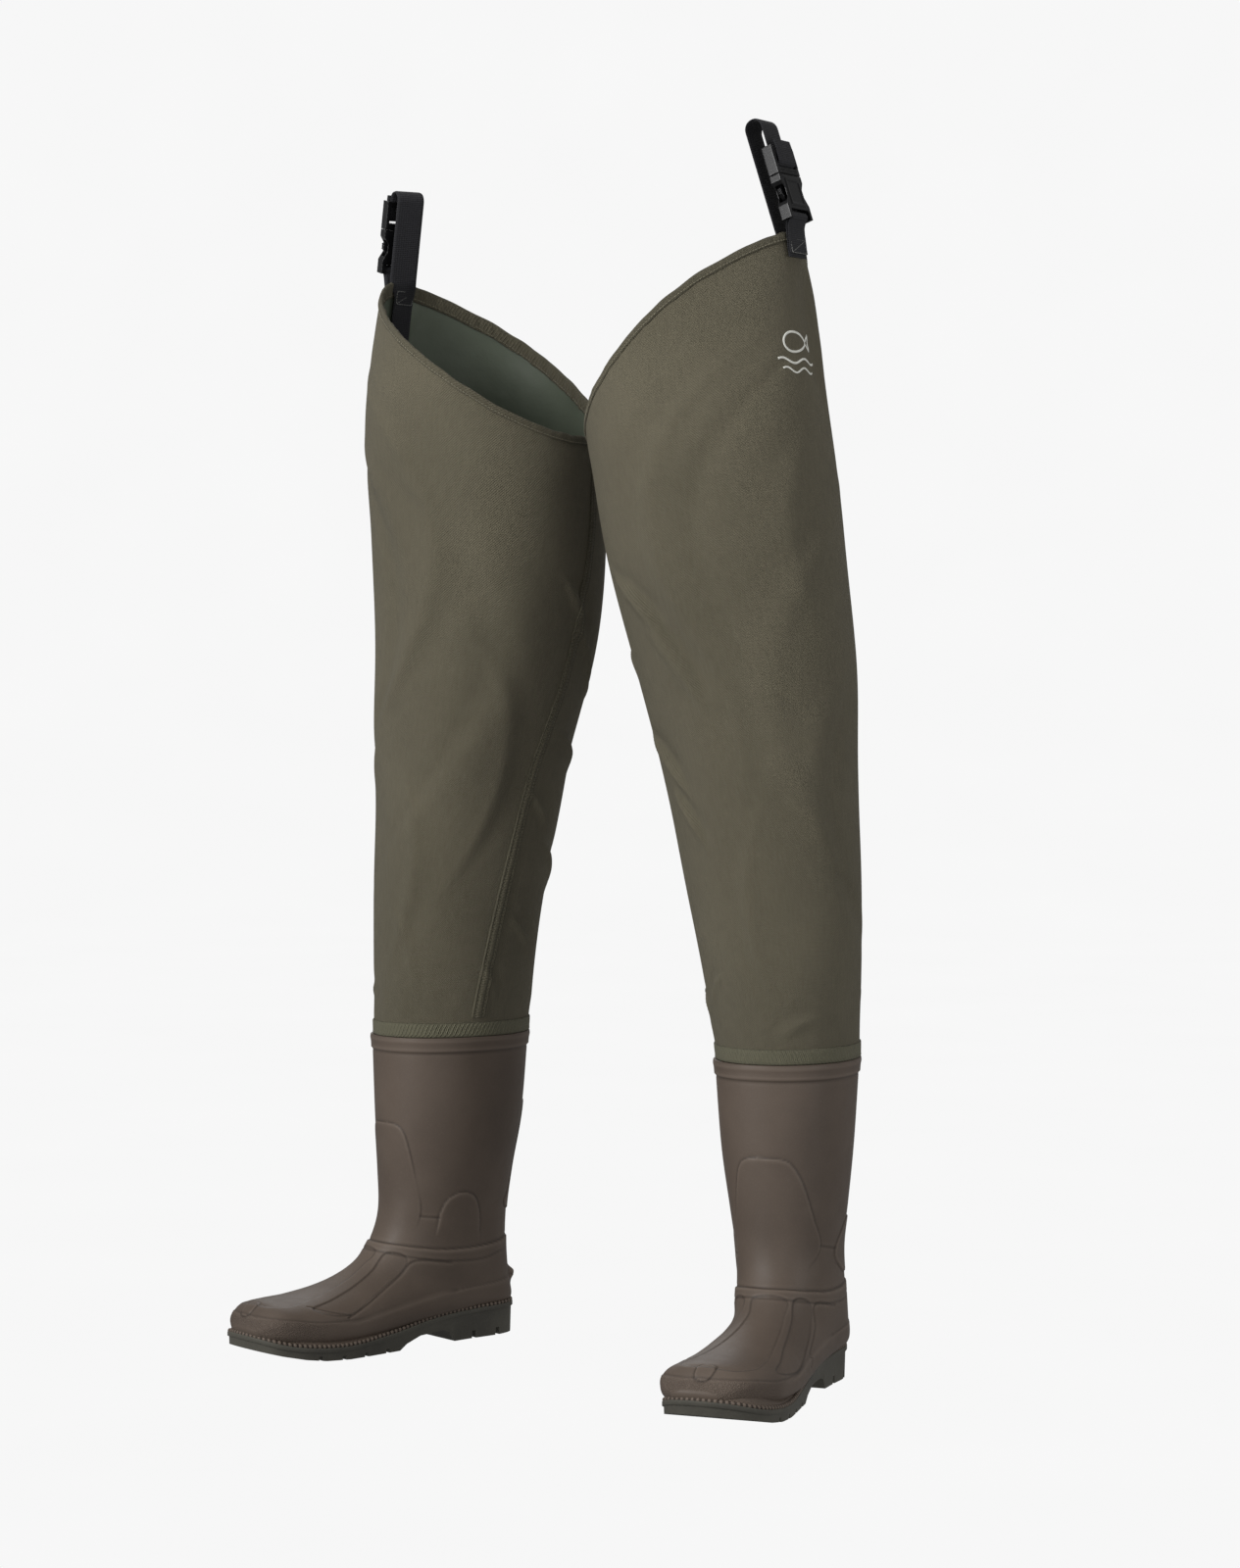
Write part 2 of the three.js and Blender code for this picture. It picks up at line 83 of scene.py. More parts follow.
# ---- curves ---------------------------------------------------------------------
def between(stations):
    """Smooth values between stations; each row is position, value, value and so on."""
    rows = np.array(stations, float)
    places, values = rows[:, 0], rows[:, 1:]
    last = len(rows) - 1

    def evaluate(at):
        at = np.clip(np.asarray(at, float), places[0], places[-1])
        flat = at.ravel()
        upper = np.clip(np.searchsorted(places, flat, side="right"), 1, last)
        lower = upper - 1
        has_before, has_after = lower > 0, upper < last
        before = np.where(has_before, lower - 1, upper)
        after = np.where(has_after, upper + 1, lower)
        start, stop = places[lower], places[upper]
        half = (stop - start) / 2
        weight_before = half / (start - np.where(has_before, places[before], stop))
        weight_after = half / (np.where(has_after, places[after], start) - stop)
        part = (flat - start) / (stop - start)
        square, cube = part**2, part**3
        shares = (
            (-weight_before * (cube - 2 * square + part), before),
            ((1 + weight_before) * cube - (1.5 + 2 * weight_before) * square
             + (weight_before - 0.5) * part + 1, lower),
            (-(1 + weight_after) * cube + (1.5 + weight_after) * square + 0.5 * part, upper),
            (weight_after * (cube - square), after),
        )
        total = sum(share[:, None] * values[index] for share, index in shares)
        return total.reshape(at.shape + (values.shape[1],))

    return evaluate


def smooth(low, high, value):
    """0 below low, 1 above high, and a smooth step between."""
    part = np.clip((np.asarray(value, float) - low) / (high - low), 0, 1)
    return part * part * (3 - 2 * part)


def bump(value, width):
    """1 at nought, falling away smoothly on both sides."""
    return np.exp(-((np.asarray(value, float) / width) ** 2))


def spaced(points, pitch):
    """Points at equal distances along a line through the given points."""
    points = np.asarray(points, float)
    run = np.concatenate([[0], np.cumsum(np.linalg.norm(np.diff(points, axis=0), axis=1))])
    count = max(2, int(round(run[-1] / pitch)) + 1)
    at = np.linspace(0, run[-1], count)
    return np.stack([np.interp(at, run, points[:, k]) for k in range(points.shape[1])], -1)


def round_turn(count):
    """Angles evenly round a full turn."""
    return np.linspace(0, TURN, count, endpoint=False)


def layout(along, across):
    """A grid of UV places, one row for each place along."""
    return np.stack(np.meshgrid(along, across, indexing="ij")[::-1], -1)


# ---- meshes ---------------------------------------------------------------------
def make_object(name, vertices, faces, materials, smooth_shading=True):
    """An object with a mesh of vertices in metres."""
    mesh = bpy.data.meshes.new(name)
    mesh.from_pydata(vertices, [], faces)
    piece = bpy.data.objects.new(name, mesh)
    bpy.context.scene.collection.objects.link(piece)
    for material in materials:
        mesh.materials.append(material)
    if smooth_shading:
        mesh.shade_smooth()
    return piece


def outwards(piece):
    """Turns the faces of a mesh outwards."""
    work = bmesh.new()
    work.from_mesh(piece.data)
    bmesh.ops.recalc_face_normals(work, faces=work.faces)
    work.to_mesh(piece.data)
    work.free()
    return piece


def grid_object(name, points, materials, closed=False, caps=False, uv=None, material_rows=None):
    """A surface through rings of points, rows by columns, in metres.

    closed joins the last ring to the first. caps closes the first and last ring with a fan.
    uv is a grid of (u, v) with one more column than points, and material_rows is the material
    of each ring.
    """
    rows, columns = points.shape[:2]
    down = np.arange(rows if closed else rows - 1)
    low, left = np.meshgrid(down, np.arange(columns), indexing="ij")
    high, right = (low + 1) % rows, (left + 1) % columns
    corners = [low * columns + left, low * columns + right, high * columns + right, high * columns + left]
    faces = np.stack(corners, -1).reshape(-1, 4).tolist()
    vertices = points.reshape(-1, 3)
    if caps:
        middle = np.array([points[0].mean(0), points[-1].mean(0)])
        vertices = np.concatenate([vertices, middle])
        for row, centre in ((0, len(vertices) - 2), (rows - 1, len(vertices) - 1)):
            start = row * columns
            faces += [[start + j, start + (j + 1) % columns, centre] for j in range(columns)]
    piece = make_object(name, vertices.tolist(), faces, materials)
    mesh = piece.data
    if uv is not None:
        layer = mesh.uv_layers.new(name="cloth")
        spots = (uv[low, left], uv[low, left + 1], uv[high, left + 1], uv[high, left])
        coordinates = np.stack(spots, 2)
        layer.data.foreach_set("uv", coordinates.reshape(-1).astype(np.float32))
    if material_rows is not None:
        index = material_rows[low].ravel().astype(np.int32)
        mesh.polygons.foreach_set("material_index", index)
    return outwards(piece)


def vertex_layout(piece, places):
    """Gives each vertex its place in the UV layout."""
    index = np.zeros(len(piece.data.loops), np.int32)
    piece.data.loops.foreach_get("vertex_index", index)
    layer = piece.data.uv_layers.new(name="cloth")
    layer.data.foreach_set("uv", places[index].ravel().astype(np.float32))


def paint(piece, name, values):
    """Stores one number for each vertex, for the materials to read."""
    layer = piece.data.attributes.new(name, "FLOAT", "POINT")
    layer.data.foreach_set("value", np.asarray(values, np.float32).ravel())


def merge(name, pieces):
    """Joins several meshes into one object."""
    work = bmesh.new()
    for piece in pieces:
        work.from_mesh(piece.data)
    mesh = bpy.data.meshes.new(name)
    work.to_mesh(mesh)
    work.free()
    for material in pieces[0].data.materials:
        mesh.materials.append(material)
    for piece in pieces:
        bpy.data.objects.remove(piece)
    joined = bpy.data.objects.new(name, mesh)
    bpy.context.scene.collection.objects.link(joined)
    mesh.shade_smooth()
    return joined


def fit(piece, side, nodes=(), body=None):
    """Says which body a piece rides on and the CAD nodes that it stands for."""
    if body:
        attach(piece, f"{side}_{body}")
    if nodes:
        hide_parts(*(f"{side}_{node}" for node in nodes))
    return piece


def model_space(points):
    """Millimetres in the model's frame to metres in the row frame."""
    return (np.asarray(points, float) + (0, SHIFT_Y, 0)) * MM


def boot_space(points, side):
    """Millimetres in the boot's frame to metres in the row frame."""
    points = np.asarray(points, float)
    x = BOOT_X + points[..., 0] * math.cos(SPLAY) - points[..., 1] * math.sin(SPLAY)
    y = BOOT_Y + points[..., 0] * math.sin(SPLAY) + points[..., 1] * math.cos(SPLAY)
    return model_space(np.stack([SIDES[side] * x, y, points[..., 2]], -1))


# ---- materials ------------------------------------------------------------------
class Nodes:
    """A small helper that builds one material around a Principled shader."""

    def __init__(self, name, colour, roughness, **values):
        self.material = bpy.data.materials.new(name)
        self.material.use_nodes = True
        self.tree = self.material.node_tree
        self.shader = self.tree.nodes["Principled BSDF"]
        self.shader.inputs["Base Color"].default_value = (*colour, 1)
        self.shader.inputs["Roughness"].default_value = roughness
        for socket, value in values.items():
            self.shader.inputs[socket.replace("_", " ")].default_value = value

    def add(self, kind, **values):
        node = self.tree.nodes.new(kind)
        for key, value in values.items():
            if key in node.inputs:
                node.inputs[key].default_value = value
            else:
                setattr(node, key, value)
        return node

    def link(self, output, socket):
        self.tree.links.new(output, socket)

    def place(self, kind="Object"):
        return self.add("ShaderNodeTexCoord").outputs[kind]

    def noise(self, scale, detail=3.0, roughness=0.55, where=None):
        node = self.add("ShaderNodeTexNoise", Scale=scale, Detail=detail, Roughness=roughness)
        self.link(where or self.place(), node.inputs["Vector"])
        return node.outputs["Fac"]

    def math(self, operation, first, second=0.0):
        """One sum on sockets or plain numbers."""
        node = self.add("ShaderNodeMath", operation=operation)
        for socket, value in zip(node.inputs, (first, second)):
            if isinstance(value, (int, float)):
                socket.default_value = value
            else:
                self.link(value, socket)
        return node.outputs[0]

    def times(self, first, second):
        return self.math("MULTIPLY", first, second)

    def plus(self, first, second):
        return self.math("ADD", first, second)

    def ramp(self, value, low, high, start=0.0, stop=1.0):
        """low where the value is start, high where it is stop, and even between."""
        node = self.add("ShaderNodeMapRange")
        node.inputs["From Min"].default_value = start
        node.inputs["From Max"].default_value = stop
        node.inputs["To Min"].default_value = low
        node.inputs["To Max"].default_value = high
        self.link(value, node.inputs["Value"])
        return node.outputs[0]

    def blend(self, share, first, second):
        """A colour between two colours or sockets."""
        node = self.add("ShaderNodeMix", data_type="RGBA")
        share_socket, first_socket, second_socket = (node.inputs[k] for k in (0, 6, 7))
        for socket, value in ((share_socket, share), (first_socket, first), (second_socket, second)):
            if isinstance(value, (int, float)):
                socket.default_value = value
            elif isinstance(value, tuple):
                socket.default_value = (*value, 1)
            else:
                self.link(value, socket)
        return node.outputs[2]

    def mottle(self, value, start, stop, first, second):
        """Patches of two colours, the first where the value is below start."""
        return self.blend(self.ramp(value, 0, 1, start, stop), first, second)

    def painted(self, name):
        """A number stored on the vertices."""
        return self.add("ShaderNodeAttribute", attribute_name=name).outputs["Fac"]

    def colour(self, output):
        self.link(output, self.shader.inputs["Base Color"])

    def roughness(self, output):
        self.link(output, self.shader.inputs["Roughness"])

    def height(self, *layers):
        """Stacks bump layers, each (height socket, distance in metres, strength)."""
        normal = None
        for value, distance, strength in layers:
            node = self.add("ShaderNodeBump", Distance=distance, Strength=strength)
            self.link(value, node.inputs["Height"])
            if normal is not None:
                self.link(normal, node.inputs["Normal"])
            normal = node.outputs["Normal"]
        self.link(normal, self.shader.inputs["Normal"])

    def waves(self, where, pitch_u, pitch_v):
        """Two sine waves across a UV layout, for threads that cross."""
        split = self.add("ShaderNodeSeparateXYZ")
        self.link(where, split.inputs[0])
        pairs = zip(split.outputs[:2], (pitch_u, pitch_v))
        return [self.math("SINE", self.times(socket, TURN / pitch)) for socket, pitch in pairs]


def shade(red, green, blue):
    """A colour seen on a screen, 0 to 255, as the renderer's linear numbers."""
    def linear(value):
        part = value / 255
        return part / 12.92 if part <= 0.04045 else ((part + 0.055) / 1.055) ** 2.4
    return linear(red), linear(green), linear(blue)


def dimmed(colour, share):
    """A darker version of a colour."""
    return tuple(share * part for part in colour)


def make_cloth(name, light, dark, thread_pitch=0.0011):
    """Coated plain-weave cloth with uneven threads and slight creases."""
    nodes = Nodes(name, light, 0.78, Sheen_Weight=0.04, Sheen_Roughness=0.5, Specular_IOR_Level=0.2)
    weave_u, weave_v = nodes.waves(nodes.place("UV"), thread_pitch, thread_pitch)
    split = nodes.add("ShaderNodeSeparateXYZ")
    nodes.link(nodes.place("UV"), split.inputs[0])
    slant = nodes.plus(split.outputs[0], split.outputs[1])
    diagonal = nodes.math("SINE", nodes.times(slant, TURN / (2 * thread_pitch)))
    crossed = nodes.times(weave_u, weave_v)
    threads = nodes.plus(crossed, nodes.times(diagonal, 0.8))
    patches = nodes.noise(7, 2)
    heather = nodes.noise(900, 2, where=nodes.place("UV"))
    slubs = nodes.add("ShaderNodeMapping")
    slubs.inputs["Scale"].default_value = (1, 0.16, 1)
    nodes.link(nodes.place("UV"), slubs.inputs["Vector"])
    streaks = nodes.noise(420, 3, where=slubs.outputs["Vector"])
    parts = ((patches, 0.4), (heather, 0.3), (streaks, 0.3))
    shares = [nodes.times(value, share) for value, share in parts]
    tone = nodes.plus(nodes.plus(shares[0], shares[1]), shares[2])
    body = nodes.mottle(tone, 0.36, 0.64, dark, light)
    nodes.colour(nodes.blend(nodes.ramp(threads, 0.4, 0, -1.6, 0.5), body, dimmed(dark, 0.6)))
    nodes.roughness(nodes.ramp(heather, 0.6, 0.86))
    creases = nodes.noise(34, 5, 0.62)
    nodes.height((creases, 0.005, 0.22), (threads, 0.0004, 0.8), (heather, 0.0005, 0.4))
    return nodes.material


def make_coating():
    nodes = Nodes("inner coating", shade(92, 99, 86), 0.5, Specular_IOR_Level=0.3)
    nodes.colour(nodes.mottle(nodes.noise(9, 3), 0.3, 0.7, shade(84, 91, 78), shade(102, 109, 95)))
    nodes.roughness(nodes.ramp(nodes.noise(60), 0.42, 0.6))
    nodes.height((nodes.noise(45, 4), 0.004, 0.2), (nodes.noise(1500, 2), 0.0003, 0.3))
    return nodes.material


def make_rubber():
    base, dark, light = shade(91, 80, 71), shade(80, 70, 62), shade(112, 100, 90)
    nodes = Nodes("boot rubber", base, 0.5, Specular_IOR_Level=0.24)
    body = nodes.mottle(nodes.noise(11, 4), 0.32, 0.68, dark, base)
    specks = nodes.noise(1400, 2)
    body = nodes.blend(nodes.ramp(specks, 0, 0.35, 0.55, 0.8), body, light)
    # Raised edges and welt tooth tips are lightened: painted highlight, partly rubbed wear.
    body = nodes.blend(nodes.times(nodes.painted("edge_wear_and_highlight"), 0.5), body, light)
    # Painted shade: the colour darkens towards a very dark brown where sunk marks grooves and the gaps
    # between welt teeth.
    nodes.colour(nodes.blend(nodes.times(nodes.painted("sunk"), 0.85), body, dimmed(dark, 0.3)))
    uneven = nodes.ramp(nodes.noise(80, 4), 0.44, 0.62)
    nodes.roughness(nodes.plus(uneven, nodes.times(nodes.painted("grain"), 0.1)))
    cells = nodes.add("ShaderNodeTexVoronoi", feature="DISTANCE_TO_EDGE", Scale=620.0)
    nodes.link(nodes.place(), cells.inputs["Vector"])
    pebbles = nodes.ramp(cells.outputs["Distance"], 0, 1, 0, 0.35)
    leather = nodes.times(pebbles, nodes.painted("grain"))
    nodes.height((nodes.noise(55, 3), 0.002, 0.12), (leather, 0.0008, 0.6), (specks, 0.0002, 0.25))
    return nodes.material


def make_sole():
    base, dark = shade(80, 78, 70), shade(64, 62, 56)
    nodes = Nodes("outsole rubber", base, 0.62, Specular_IOR_Level=0.35)
    cloudy = nodes.noise(16, 4)
    dusty = nodes.noise(420, 3)
    body = nodes.mottle(cloudy, 0.35, 0.65, dark, base)
    nodes.colour(nodes.blend(nodes.ramp(dusty, 0, 0.3, 0.55, 0.75), body, shade(92, 90, 83)))
    nodes.roughness(nodes.ramp(dusty, 0.52, 0.74))
    nodes.height((nodes.noise(90, 3), 0.001, 0.2), (dusty, 0.0004, 0.3))
    return nodes.material


def make_webbing():
    nodes = Nodes("strap webbing", shade(24, 24, 26), 0.72, Sheen_Weight=0.04, Specular_IOR_Level=0.25)
    across, along = nodes.waves(nodes.place("UV"), 0.0022, 0.0016)
    ribs = nodes.plus(nodes.times(along, 0.7), nodes.times(across, 0.3))
    fuzz = nodes.noise(1700, 2, where=nodes.place("UV"))
    tone = nodes.plus(nodes.ramp(ribs, 0, 0.6, -1, 1), nodes.times(fuzz, 0.4))
    nodes.colour(nodes.blend(tone, shade(10, 10, 11), shade(50, 50, 54)))
    nodes.roughness(nodes.ramp(fuzz, 0.6, 0.85))
    nodes.height((ribs, 0.0003, 0.6), (fuzz, 0.0002, 0.4))
    return nodes.material


def make_plastic():
    nodes = Nodes("buckle plastic", shade(18, 18, 19), 0.26, Specular_IOR_Level=0.3)
    scuff = nodes.noise(70, 3)
    scuffed = nodes.ramp(scuff, 0, 0.5, 0.5, 0.8)
    nodes.colour(nodes.blend(scuffed, shade(12, 12, 13), shade(30, 30, 32)))
    nodes.roughness(nodes.ramp(scuff, 0.2, 0.36))
    nodes.height((nodes.noise(60, 2), 0.0002, 0.06))
    return nodes.material


def make_knit():
    nodes = Nodes("lining knit", shade(112, 112, 108), 0.92, Sheen_Weight=0.3)
    across, along = nodes.waves(nodes.place("UV"), 0.0018, 0.0024)
    loops = nodes.times(across, along)
    fuzz = nodes.noise(800, 3)
    tone = nodes.plus(nodes.ramp(loops, 0, 0.6, -1, 1), nodes.times(fuzz, 0.4))
    nodes.colour(nodes.blend(tone, shade(74, 75, 72), shade(124, 124, 118)))
    nodes.height((loops, 0.0004, 0.6), (fuzz, 0.0005, 0.4))
    return nodes.material


def make_thread(name, colour):
    nodes = Nodes(name, colour, 0.6, Sheen_Weight=0.2)
    twist = nodes.noise(2400, 2)
    nodes.colour(nodes.mottle(twist, 0.35, 0.65, dimmed(colour, 0.6), colour))
    nodes.height((twist, 0.0001, 0.5))
    return nodes.material


def make_print():
    nodes = Nodes("printed mark", shade(214, 214, 206), 0.6)
    worn = nodes.noise(1300, 3)
    faded = nodes.ramp(worn, 0, 0.7, 0.55, 0.75)
    nodes.colour(nodes.blend(faded, shade(216, 216, 208), shade(150, 148, 136)))
    nodes.height((worn, 0.0001, 0.4))
    return nodes.material


CLOTH = make_cloth("olive cloth", shade(113, 107, 89), shade(96, 91, 75))
EDGING = make_cloth("hem cloth", shade(102, 97, 80), shade(84, 80, 66))
TAPE = make_cloth("welded tape", shade(103, 100, 82), shade(90, 88, 72), 0.0018)
COATING = make_coating()
RUBBER = make_rubber()
SOLE = make_sole()
WEBBING = make_webbing()
PLASTIC = make_plastic()
KNIT = make_knit()
THREAD = make_thread("olive thread", shade(122, 116, 94))
TACK = make_thread("tack thread", shade(120, 120, 116))
PRINT = make_print()

# ---- boot upper -----------------------------------------------------------------
# Rings from the cuff down and forward to the toe: section, the front edge's y and height, the back
# edge's y and height, half width, shift outwards and squareness of the back.
upper_sections = between([
    [0, -73, CUFF, 73, CUFF, 57, 0, 2], [1, -71, 200, 68, 200, 52, 1, 2],
    [2, -68, 150, 60, 150, 46, 3, 2], [3, -68, 120, 55, 112, 41, 4, 2.1],
    [4, -73, 99, 55, 78, 40, 6, 2.2], [5, -83, 83, 56, 48, 39, 7, 2.6],
    [6, -96, 72, 55, 28, 36, 8, 3.4], [7, -114, 63, 20, 26, 36, 8, 4],
    [8, -137, 56, -35, 22, 39, 7, 4], [9, -162, 52, -95, 14, 43, 7, 4],
    [10, -184, 51, -148, 12, 43, 6, 4], [11, -201, 50, -188, 16, 38, 3, 3.4],
    [12, -212, 43, -207, 21, 30, 1, 3], [13, -217, 33, -215, 25, 19, 0, 2.4],
])
LAST_SECTION = 13


def upper_point(section, angle, inset=0.0):
    """A point on the boot's upper; the angle runs from the front round the outside."""
    row = upper_sections(section)
    front, back = row[..., 0:2], row[..., 2:4]
    half_width, shift, square = row[..., 4], row[..., 5], row[..., 6]
    length = np.linalg.norm(front - back, axis=-1) / 2
    half = (front - back) / 2 * ((length - inset) / length)[..., None]
    middle = (front + back) / 2
    along, across = np.cos(angle), np.sin(angle)
    power = 2 / np.where(along < 0, square, 2.2)
    reach = np.sign(along) * np.abs(along) ** power
    side = np.sign(across) * np.abs(across) ** power
    return np.stack([
        shift + side * (half_width - inset),
        middle[..., 0] + half[..., 0] * reach,
        middle[..., 1] + half[..., 1] * reach,
    ], -1)


footbed = between([
    [-221, 26], [-200, 19], [-180, 15], [-137, 11.8], [-87, 16.5], [-38, 23.4], [0, 26], [61, 27.5],
])
# Where each line on the upper runs: angle from the front in degrees, section.
ridge_section = between([[0, 4.55], [45, 4.5], [75, 4.4], [106, 4.1], [150, 3.78], [180, 3.72]])
band_section = between([[0, 5.0], [55, 4.95], [80, 4.8], [106, 4.5], [130, 4.2], [180, 4.1]])
# The rand's upper edge: y, height.
rand_height = between([
    [-222, 42], [-195, 38.5], [-165, 34], [-120, 33], [-90, 37], [-46, 42], [13, 47.5], [62, 50],
])

# Outlines of the moulded panels, as (section, angle in degrees).
INSTEP_PANEL = [
    (5.0, -8), (6.0, -10), (7.1, -15), (8.15, -20), (9.3, -28), (10.3, -36), (11.1, -26), (11.3, 8),
    (11.1, 38), (10.3, 46), (9.3, 42), (8.15, 38), (7.1, 33), (6.0, 28), (5.0, 24),
]
INNER_PANEL = [
    (5.1, -23), (6.35, -28), (7.6, -35), (8.6, -42), (9.6, -52), (9.15, -76), (8.6, -74), (8.0, -64),
    (6.7, -52), (5.1, -45),
]
OUTER_PANEL = [
    (5.0, 34), (6.25, 40), (7.6, 48), (8.8, 57), (9.6, 66), (9.0, 86), (8.4, 88), (7.43, 75),
    (6.2, 62), (5.0, 51),
]
SHIN_PANEL = [
    (4.1, -30), (3.2, -44), (2.1, -35), (1.42, -26), (1.18, -19), (1.1, -8), (1.1, 10), (1.14, 22),
    (1.28, 30), (1.55, 38), (2.18, 50), (2.9, 62), (3.5, 50), (4.1, 34),
]
INNER_ANKLE = [
    (4.1, -67), (3.4, -63), (3.0, -64), (2.65, -69), (2.48, -80), (2.6, -91), (3.03, -98),
    (3.5, -100), (4.1, -99),
]
OUTER_ANKLE = [
    (2.3, 112), (2.5, 98), (2.9, 88), (3.25, 86), (3.55, 94), (3.72, 108), (3.6, 124), (3.1, 136),
    (2.6, 130),
]
BACK_PANEL = [
    (0.88, 164), (0.95, 150), (1.5, 149), (2.2, 148), (2.6, 142), (2.85, 134), (3.05, 150),
    (3.05, 210), (2.85, 226), (2.6, 218), (2.2, 212), (1.5, 211), (0.95, 210), (0.88, 196),
]
TOE_BAR = [(11.15, -4), (12.2, -3), (12.2, 16), (11.15, 13)]
# Lines cut into the upper, each with its depth in mm.
GROOVES = [
    ([(4.85, -82), (5.1, -54), (5.9, -51), (7.4, -61), (9.1, -84)], 0.7),
    ([(4.85, 86), (5.0, 58), (6.2, 68), (7.43, 82), (8.35, 98)], 0.7),
    ([(3.23, -45), (3.25, -63)], 0.6),
    ([(2.9, 62), (3.03, 86)], 0.6),
    ([(9.65, -44), (9.45, -52), (8.95, -80)], 0.6),
]


def rounded(outline, closed=True, steps=10):
    """A smooth line through the given corners."""
    corners = np.array(outline, float)
    count = len(corners)
    overlap = 2 if closed else 0
    rows = [[i, *corners[i % count]] for i in range(-overlap, count + overlap + closed)]
    end = count if closed else count - 1
    return between(rows)(np.linspace(0, end, count * steps, endpoint=not closed))


def nearest(points, line, reach=8, far=99.0, batch=4000):
    """The distance from each point to a line of points, or far where it is out of reach."""
    found = np.full(len(points), far)
    low, high = line.min(0) - reach, line.max(0) + reach
    near = np.flatnonzero(((points > low) & (points < high)).all(1))
    for start in range(0, len(near), batch):
        part = near[start:start + batch]
        gap = points[part, None] - line[None]
        found[part] = np.sqrt((gap**2).sum(-1).min(1))
    return found


def on_upper(line, pitch=0.8):
    """Evenly spaced points on the upper along a line of (section, angle in degrees)."""
    return spaced(upper_point(line[:, 0], np.radians(line[:, 1])), pitch)


def inside(outline, section, angle):
    """True where (section, angle) is inside the outline."""
    result = np.zeros(section.shape, bool)
    for (s0, a0), (s1, a1) in zip(outline, np.roll(outline, -1, axis=0)):
        crossing = (a0 > angle) != (a1 > angle)
        where = s0 + (angle - a0) / (a1 - a0 if a1 != a0 else 1e-9) * (s1 - s0)
        result ^= crossing & (section < where)
    return result


def panel_share(outline, section, angle, points, blur=0.75):
    """1 inside a moulded panel and 0 outside, and how near its edge is; blur in millimetres."""
    line = rounded(outline)
    degrees = np.degrees(angle)
    if max(a for _, a in outline) > 180:
        degrees = degrees % 360
    distance = nearest(points, on_upper(line))
    signed = np.where(inside(line, section, degrees), distance, -distance)
    return smooth(-blur, blur, signed), bump(signed + 0.5, 0.85)


def upper_relief(section, angle, points):
    """How far each point of the upper stands out, in mm, and how much painted shade darkens it along its
    grooves and lines.
    """
    fold = np.abs(np.degrees(angle))
    y, z = points[:, 1], points[:, 2]
    step = 0.05
    stride = upper_point(section + step, angle) - upper_point(section - step, angle)
    spacing = np.linalg.norm(stride, axis=1) / (2 * step)
    above_ridge = (section - ridge_section(fold)[:, 0]) * spacing
    below_band = (section - band_section(fold)[:, 0]) * spacing
    out = 1.3 * smooth(-0.5, 0.6, above_ridge)
    # sunk is painted shade: the rubber's colour is darkened along the ridge, band, panel edges, grooves,
    # rand and cuff lines.
    sunk = 0.9 * bump(above_ridge + 0.8, 0.8)
    out -= 0.35 * bump(above_ridge + 1.2, 1.2)
    band_line = bump(below_band, 0.9) * smooth(150, 120, fold) * np.where(section > 4, 1, 0)
    out -= 0.45 * band_line
    sunk += 0.55 * band_line
    blank = smooth(0, 0.35, -angle) * bump(section - 2.35, 0.55)
    shin_fade = smooth(3.9, 2.6, section) * (1 - 0.85 * blank)
    ankle_fade = smooth(4.1, 3.3, section)
    panels = (
        (INSTEP_PANEL, -0.9, 1), (INNER_PANEL, -0.8, 1), (OUTER_PANEL, -0.8, 1), (TOE_BAR, 0.7, 1),
        (SHIN_PANEL, 0.65, shin_fade), (INNER_ANKLE, 0.9, ankle_fade), (OUTER_ANKLE, 1.0, 1),
        (BACK_PANEL, 0.9, 1),
    )
    for outline, height, strength in panels:
        share, edge = panel_share(outline, section, angle, points)
        out += height * share * strength
        sunk += 0.7 * edge * strength
        out -= 0.25 * edge * strength
    for line, depth in GROOVES:
        cut = bump(nearest(points, on_upper(rounded(line, closed=False))), 0.9)
        out -= depth * cut
        sunk += 0.6 * cut
    rand = rand_height(y)[:, 0] - z
    out += 0.6 * smooth(-0.5, 0.9, rand)
    sunk += 0.45 * bump(rand + 0.6, 0.8)
    cuff = z - (CUFF - CUFF_BAND)
    out += 1.3 * smooth(-0.5, 0.7, cuff) + 0.5 * bump(z - (CUFF - 2.5), 2.2)
    out -= 0.3 * bump(cuff + 1.1, 1.0)
    sunk += 0.6 * bump(cuff + 0.7, 0.9)
    above_spur = z - SPUR_HEIGHT
    spur = bump(np.where(above_spur > 0, above_spur, 0.55 * above_spur), 4.5)
    out += 6.2 * spur * smooth(20, 14, np.abs(points[:, 0] - 6)) * smooth(38, 50, y)
    return out, np.clip(sunk, 0, 1)


def even_sections(first, last, spacing):
    """Section numbers whose rings are about evenly spaced."""
    fine = np.linspace(first, last, 400)
    lines = [upper_point(fine, np.full_like(fine, angle)) for angle in (0, np.pi / 2, np.pi)]
    steps = sum(np.linalg.norm(np.diff(line, axis=0), axis=1) for line in lines) / len(lines)
    run = np.concatenate([[0], np.cumsum(steps)])
    count = int(run[-1] / spacing)
    return np.interp(np.linspace(0, run[-1], count), run, fine)


